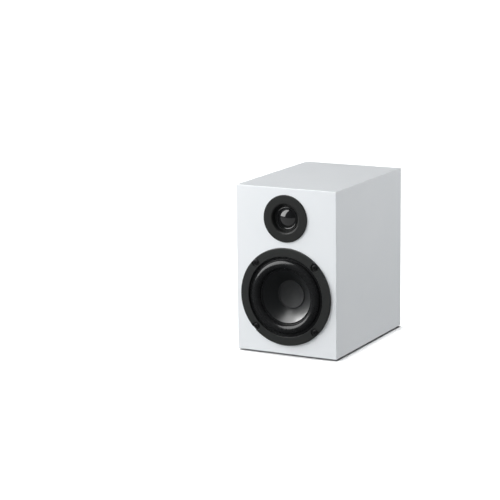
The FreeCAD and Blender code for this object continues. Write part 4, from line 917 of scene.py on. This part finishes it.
MOVING_END, STILL_END = 2 * MM, 4 * MM
source = nodes["woofer_tinsel_leads"]
leads = source.copy()
leads.data = source.data.copy()
leads.parent = None
leads.name = leads.data.name = "cone_leads"
for key in list(leads.keys()):
    del leads[key]
bpy.context.scene.collection.objects.link(leads)
bpy.ops.object.select_all(action="DESELECT")
leads.select_set(True)
bpy.context.view_layer.objects.active = leads
leads.data.materials.clear()
leads.data.materials.append(tinsel)
bpy.ops.object.mode_set(mode="EDIT")
bpy.ops.mesh.select_all(action="SELECT")
bpy.ops.mesh.remove_doubles(threshold=WELD)
bpy.ops.mesh.normals_make_consistent(inside=False)
bpy.ops.object.mode_set(mode="OBJECT")
bpy.ops.object.shade_smooth()
lead_low, lead_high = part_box("woofer_tinsel_leads")
blend_round(
    leads,
    WOOFER,
    WOOFER.z - lead_high.z + MOVING_END,
    WOOFER.z - lead_low.z - STILL_END,
    distance=lambda co: WOOFER.z - co.z,
)
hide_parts("woofer_tinsel_leads")

# %% [markdown]
# ## Wadding
#
# Polyester wadding lines the walls and keeps the box from ringing. It is soft and stuffed, so it
# is blown up rather than drawn: a flat block a little smaller than its space is remeshed into even
# squares, and Blender's cloth simulation inflates it with pressure for twenty frames. Its faces
# may move only a few millimetres, so that it fills its space and no more. Then the moved points
# are kept, the simulation is taken away, and the mesh is subdivided once. The fluff is too fine to
# model, so it is relief in the finish.
#
# Without its simulation a pad stays a flat block.

# %% Wadding
wadding = new_finish("polyester_wadding", (0.70, 0.71, 0.72), 0.95, Sheen_Weight=0.4)
mottle(wadding, noise(wadding, 9, 6, 0.65), (0.58, 0.59, 0.60), (0.78, 0.79, 0.80))
relief(wadding, noise(wadding, 1.2, 6, 0.75, stretch=(1, 3, 1)), 0.5, 0.9)
relief(wadding, noise(wadding, 7, 3), 1.2, 0.5)

VOXEL, BLOWN_UP, SIDE_THICK = 3 * MM, 2.5 * MM, 11 * MM
PRESSURE, LAST_FRAME = 4, 20


def inflate(piece, most):
    """Blows a closed mesh up with cloth pressure, and lets no point move further than most."""
    flat = np.array([v.co for v in piece.data.vertices])
    cloth = piece.modifiers.new("cloth", "CLOTH")
    cloth.settings.use_pressure = True
    cloth.settings.uniform_pressure_force = PRESSURE
    cloth.settings.effector_weights.gravity = 0
    cloth.point_cache.frame_end = LAST_FRAME
    for number in range(1, LAST_FRAME + 1):
        bpy.context.scene.frame_set(number)
    shaped = piece.evaluated_get(bpy.context.evaluated_depsgraph_get())
    blown = np.array([v.co for v in shaped.data.vertices])
    piece.modifiers.remove(cloth)
    bpy.context.scene.frame_set(1)
    move = blown - flat
    length = np.linalg.norm(move, axis=1, keepdims=True)
    move *= np.minimum(1, most / np.maximum(length, 1e-9))
    piece.data.vertices.foreach_set("co", (flat + move).ravel())
    piece.data.update()
    print(piece.name, "moved up to", round(float(length.max()) / MM, 1), "mm before the cap")


def wadding_pad(name, low, high):
    """A pad that fills the space between two corners."""
    low, high = Vector(low), Vector(high)
    slack = Vector((BLOWN_UP, BLOWN_UP, BLOWN_UP))
    size = high - low - slack * 2
    bpy.ops.object.select_all(action="DESELECT")
    bpy.ops.mesh.primitive_cube_add(size=1, location=(low + high) / 2, scale=size)
    piece = start_piece(name, wadding)
    bpy.ops.object.mode_set(mode="EDIT")
    bpy.ops.mesh.select_all(action="SELECT")
    bpy.ops.mesh.bevel(offset=min(size) * 0.3, segments=2)
    bpy.ops.object.mode_set(mode="OBJECT")
    remesh = piece.modifiers.new("even_squares", "REMESH")
    remesh.mode, remesh.voxel_size = "VOXEL", VOXEL
    bpy.ops.object.modifier_apply(modifier=remesh.name)
    inflate(piece, BLOWN_UP)
    smooth = piece.modifiers.new("smooth", "SUBSURF")
    smooth.levels = smooth.render_levels = 1
    bpy.ops.object.modifier_apply(modifier=smooth.name)
    bpy.ops.object.shade_smooth()
    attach(piece, "cabinet")
    print(name, len(piece.data.vertices), "vertices")
    return piece


side_low, side_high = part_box("side_wadding")
left_pad = wadding_pad(
    "left_pad", side_low, (side_low.x + SIDE_THICK, side_high.y, side_high.z)
)
wadding_pad("right_pad", (side_high.x - SIDE_THICK, side_low.y, side_low.z), side_high)
top_pad = wadding_pad("top_pad", *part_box("top_wadding"))
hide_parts("side_wadding")
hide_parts("top_wadding")

# %% [markdown]
# ## Floor and backdrop
#
# The floor is two planes. The first is what one sees: a white sweep that takes the shadow. It is
# hidden from reflected rays, so the black parts keep their depth, as they do above a dark studio
# table. The second is a card which can't be seen and only returns soft light to the box from
# below. A large white shell around everything closes the view above the horizon. Only the camera
# sees it, so it adds no light.

# %% Floor and backdrop
FLOOR_SIDE, SHELL_RADIUS = 80, 12
CARD_LEVEL = -1 * MM


def stage_plane(name, material, level):
    """A large plane of the stage."""
    bpy.ops.object.select_all(action="DESELECT")
    bpy.ops.mesh.primitive_plane_add(size=FLOOR_SIDE, location=(0, 0, level))
    plane = start_piece(name, material)
    plane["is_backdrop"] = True
    return plane


pale = new_finish("pale_sweep", (0.88, 0.885, 0.89), 0.9, IOR=1.3)
mottle(pale, noise(pale, 900, 2), (0.878, 0.883, 0.888), (0.885, 0.89, 0.895))
floor = stage_plane("studio_floor", pale, 0)
floor.visible_glossy = floor.visible_diffuse = False

card_grey = new_finish("bounce_card", (0.41, 0.425, 0.44), 0.9, IOR=1.3)
mottle(card_grey, noise(card_grey, 900, 2), (0.405, 0.42, 0.435), (0.415, 0.43, 0.445))
card = stage_plane("bounce_card", card_grey, CARD_LEVEL)
card.visible_camera = card.visible_glossy = False

shell_white = new_finish("backdrop_white", (0, 0, 0), 1.0, Emission_Strength=1.0)
mottle(
    shell_white,
    noise(shell_white, 9000, 1),
    (1, 1, 0.995),
    (0.995, 1, 1),
    low=0,
    high=1,
    socket="Emission Color",
)
bpy.ops.object.select_all(action="DESELECT")
bpy.ops.mesh.primitive_uv_sphere_add(radius=SHELL_RADIUS)
backdrop = start_piece("backdrop", shell_white)
backdrop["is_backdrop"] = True
backdrop.visible_diffuse = backdrop.visible_glossy = backdrop.visible_shadow = False
backdrop.visible_transmission = False

# %% [markdown]
# ## Lamps
#
# The main lamp is a very large soft panel on the left. It reaches from the front corner to far
# behind the box, and from the floor to high overhead, so the shiny dome and the wet-looking cone
# show one broad bright shape with a clean edge. It also lights the front of the box. Three more
# lamps, in front, on the right and behind, lift the faces that the panel doesn't reach. They are
# hidden from reflections, because a second bright patch on the dome would look wrong.
#
# Some lamps are meant for one thing only, and Blender calls that light linking. A smaller panel
# on the left draws the highlight across the bowl of the cone, and a glow from below fills the
# lower half of the dome. A panel behind gives the port and the terminals something to mirror,
# because brass without a reflection looks black. A sun almost straight overhead lights nothing
# but the floor, so that it burns out to white and only a narrow dark line is left under the
# cabinet. The three filling lamps are kept off the floor, because they would wash that line out.

# %% Lamps
SKY_STRENGTH = 0.04
SUN_POWER, SUN_WIDTH = 4.2, math.radians(7)
SUN_TO_FRONT, SUN_TO_RIGHT = math.radians(-1.4), math.radians(-1)


def soft_lamp(name, azimuth, elevation, distance, size, power, mirrored=True):
    """A square area lamp that looks at the middle of the object."""
    a, e = math.radians(azimuth), math.radians(elevation)
    away = Vector((math.sin(a) * math.cos(e), -math.cos(a) * math.cos(e), math.sin(e)))
    data = bpy.data.lights.new(name, "AREA")
    data.shape, data.size, data.energy = "SQUARE", size, power
    lamp = bpy.data.objects.new(name, data)
    bpy.context.scene.collection.objects.link(lamp)
    lamp.location = object_middle + away * distance
    lamp.rotation_euler = away.to_track_quat("Z", "Y").to_euler()
    lamp.visible_camera = False
    lamp.visible_glossy = mirrored
    return lamp


def light_only(lamp, *objects):
    """Links a lamp to some objects, so that it lights nothing else."""
    receivers = bpy.data.collections.new(lamp.name + "_lights")
    for each in objects:
        receivers.objects.link(each)
    lamp.light_linking.receiver_collection = receivers


def light_all_but(lamp, spared):
    """Links a lamp to everything except one object."""
    light_only(lamp, spared)
    spared_link = lamp.light_linking.receiver_collection.collection_objects[0]
    spared_link.light_linking.link_state = "EXCLUDE"


soft_lamp("left_panel", azimuth=-57, elevation=33, distance=2.0, size=2.2, power=71)
fillers = (
    ("front_lamp", 6, 2, 2.6, 1.2, 34),
    ("right_lamp", 98, 22, 1.5, 0.9, 13.8),
    ("rear_lamp", 172, 6, 2.6, 1.4, 36),
)
for name, azimuth, elevation, distance, size, power in fillers:
    filler = soft_lamp(name, azimuth, elevation, distance, size, power, mirrored=False)
    light_all_but(filler, floor)

side_panel = soft_lamp(
    "side_panel", azimuth=-78, elevation=20, distance=2.0, size=1.1, power=45
)
light_only(side_panel, nodes["woofer_cone"])
glow = soft_lamp("table_glow", azimuth=0, elevation=-90, distance=0.135, size=5.0, power=30)
light_only(glow, dome)
rear_glint = soft_lamp(
    "rear_glint", azimuth=158, elevation=32, distance=2.0, size=1.3, power=42
)
metal_and_plastic = (
    "port_mouth",
    "port_tube",
    "terminal_cup",
    "terminal_screws",
    "binding_posts",
    "positive_collar",
    "positive_core",
    "positive_knob",
    "negative_collar",
    "negative_core",
    "negative_knob",
)
light_only(rear_glint, *(nodes[name] for name in metal_and_plastic))

sun = bpy.data.objects.new("floor_lamp", bpy.data.lights.new("floor_lamp", "SUN"))
sun.data.energy, sun.data.angle = SUN_POWER, SUN_WIDTH
sun.rotation_euler = (SUN_TO_FRONT, SUN_TO_RIGHT, 0)
bpy.context.scene.collection.objects.link(sun)
light_only(sun, floor)

world = bpy.data.worlds.new("sky")
bpy.context.scene.world = world
world.use_nodes = True
sky = world.node_tree.nodes["Background"]
sky.inputs["Color"].default_value = (0.96, 0.98, 1.0, 1)
sky.inputs["Strength"].default_value = SKY_STRENGTH
bpy.context.scene.view_settings.view_transform = "Standard"

# %% [markdown]
# ## Sizes, and the end
#
# The box of the solids and the box of everything that renders, stage left out, are printed
# together. The visual model must stay inside the box of the solids, apart from soft pieces that
# may stand a little proud.

# %% Finish
size = {
    "cad": [list(corner) for corner in cad_box],
    "visual": [list(corner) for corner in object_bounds()],
}
print("sizes", size)
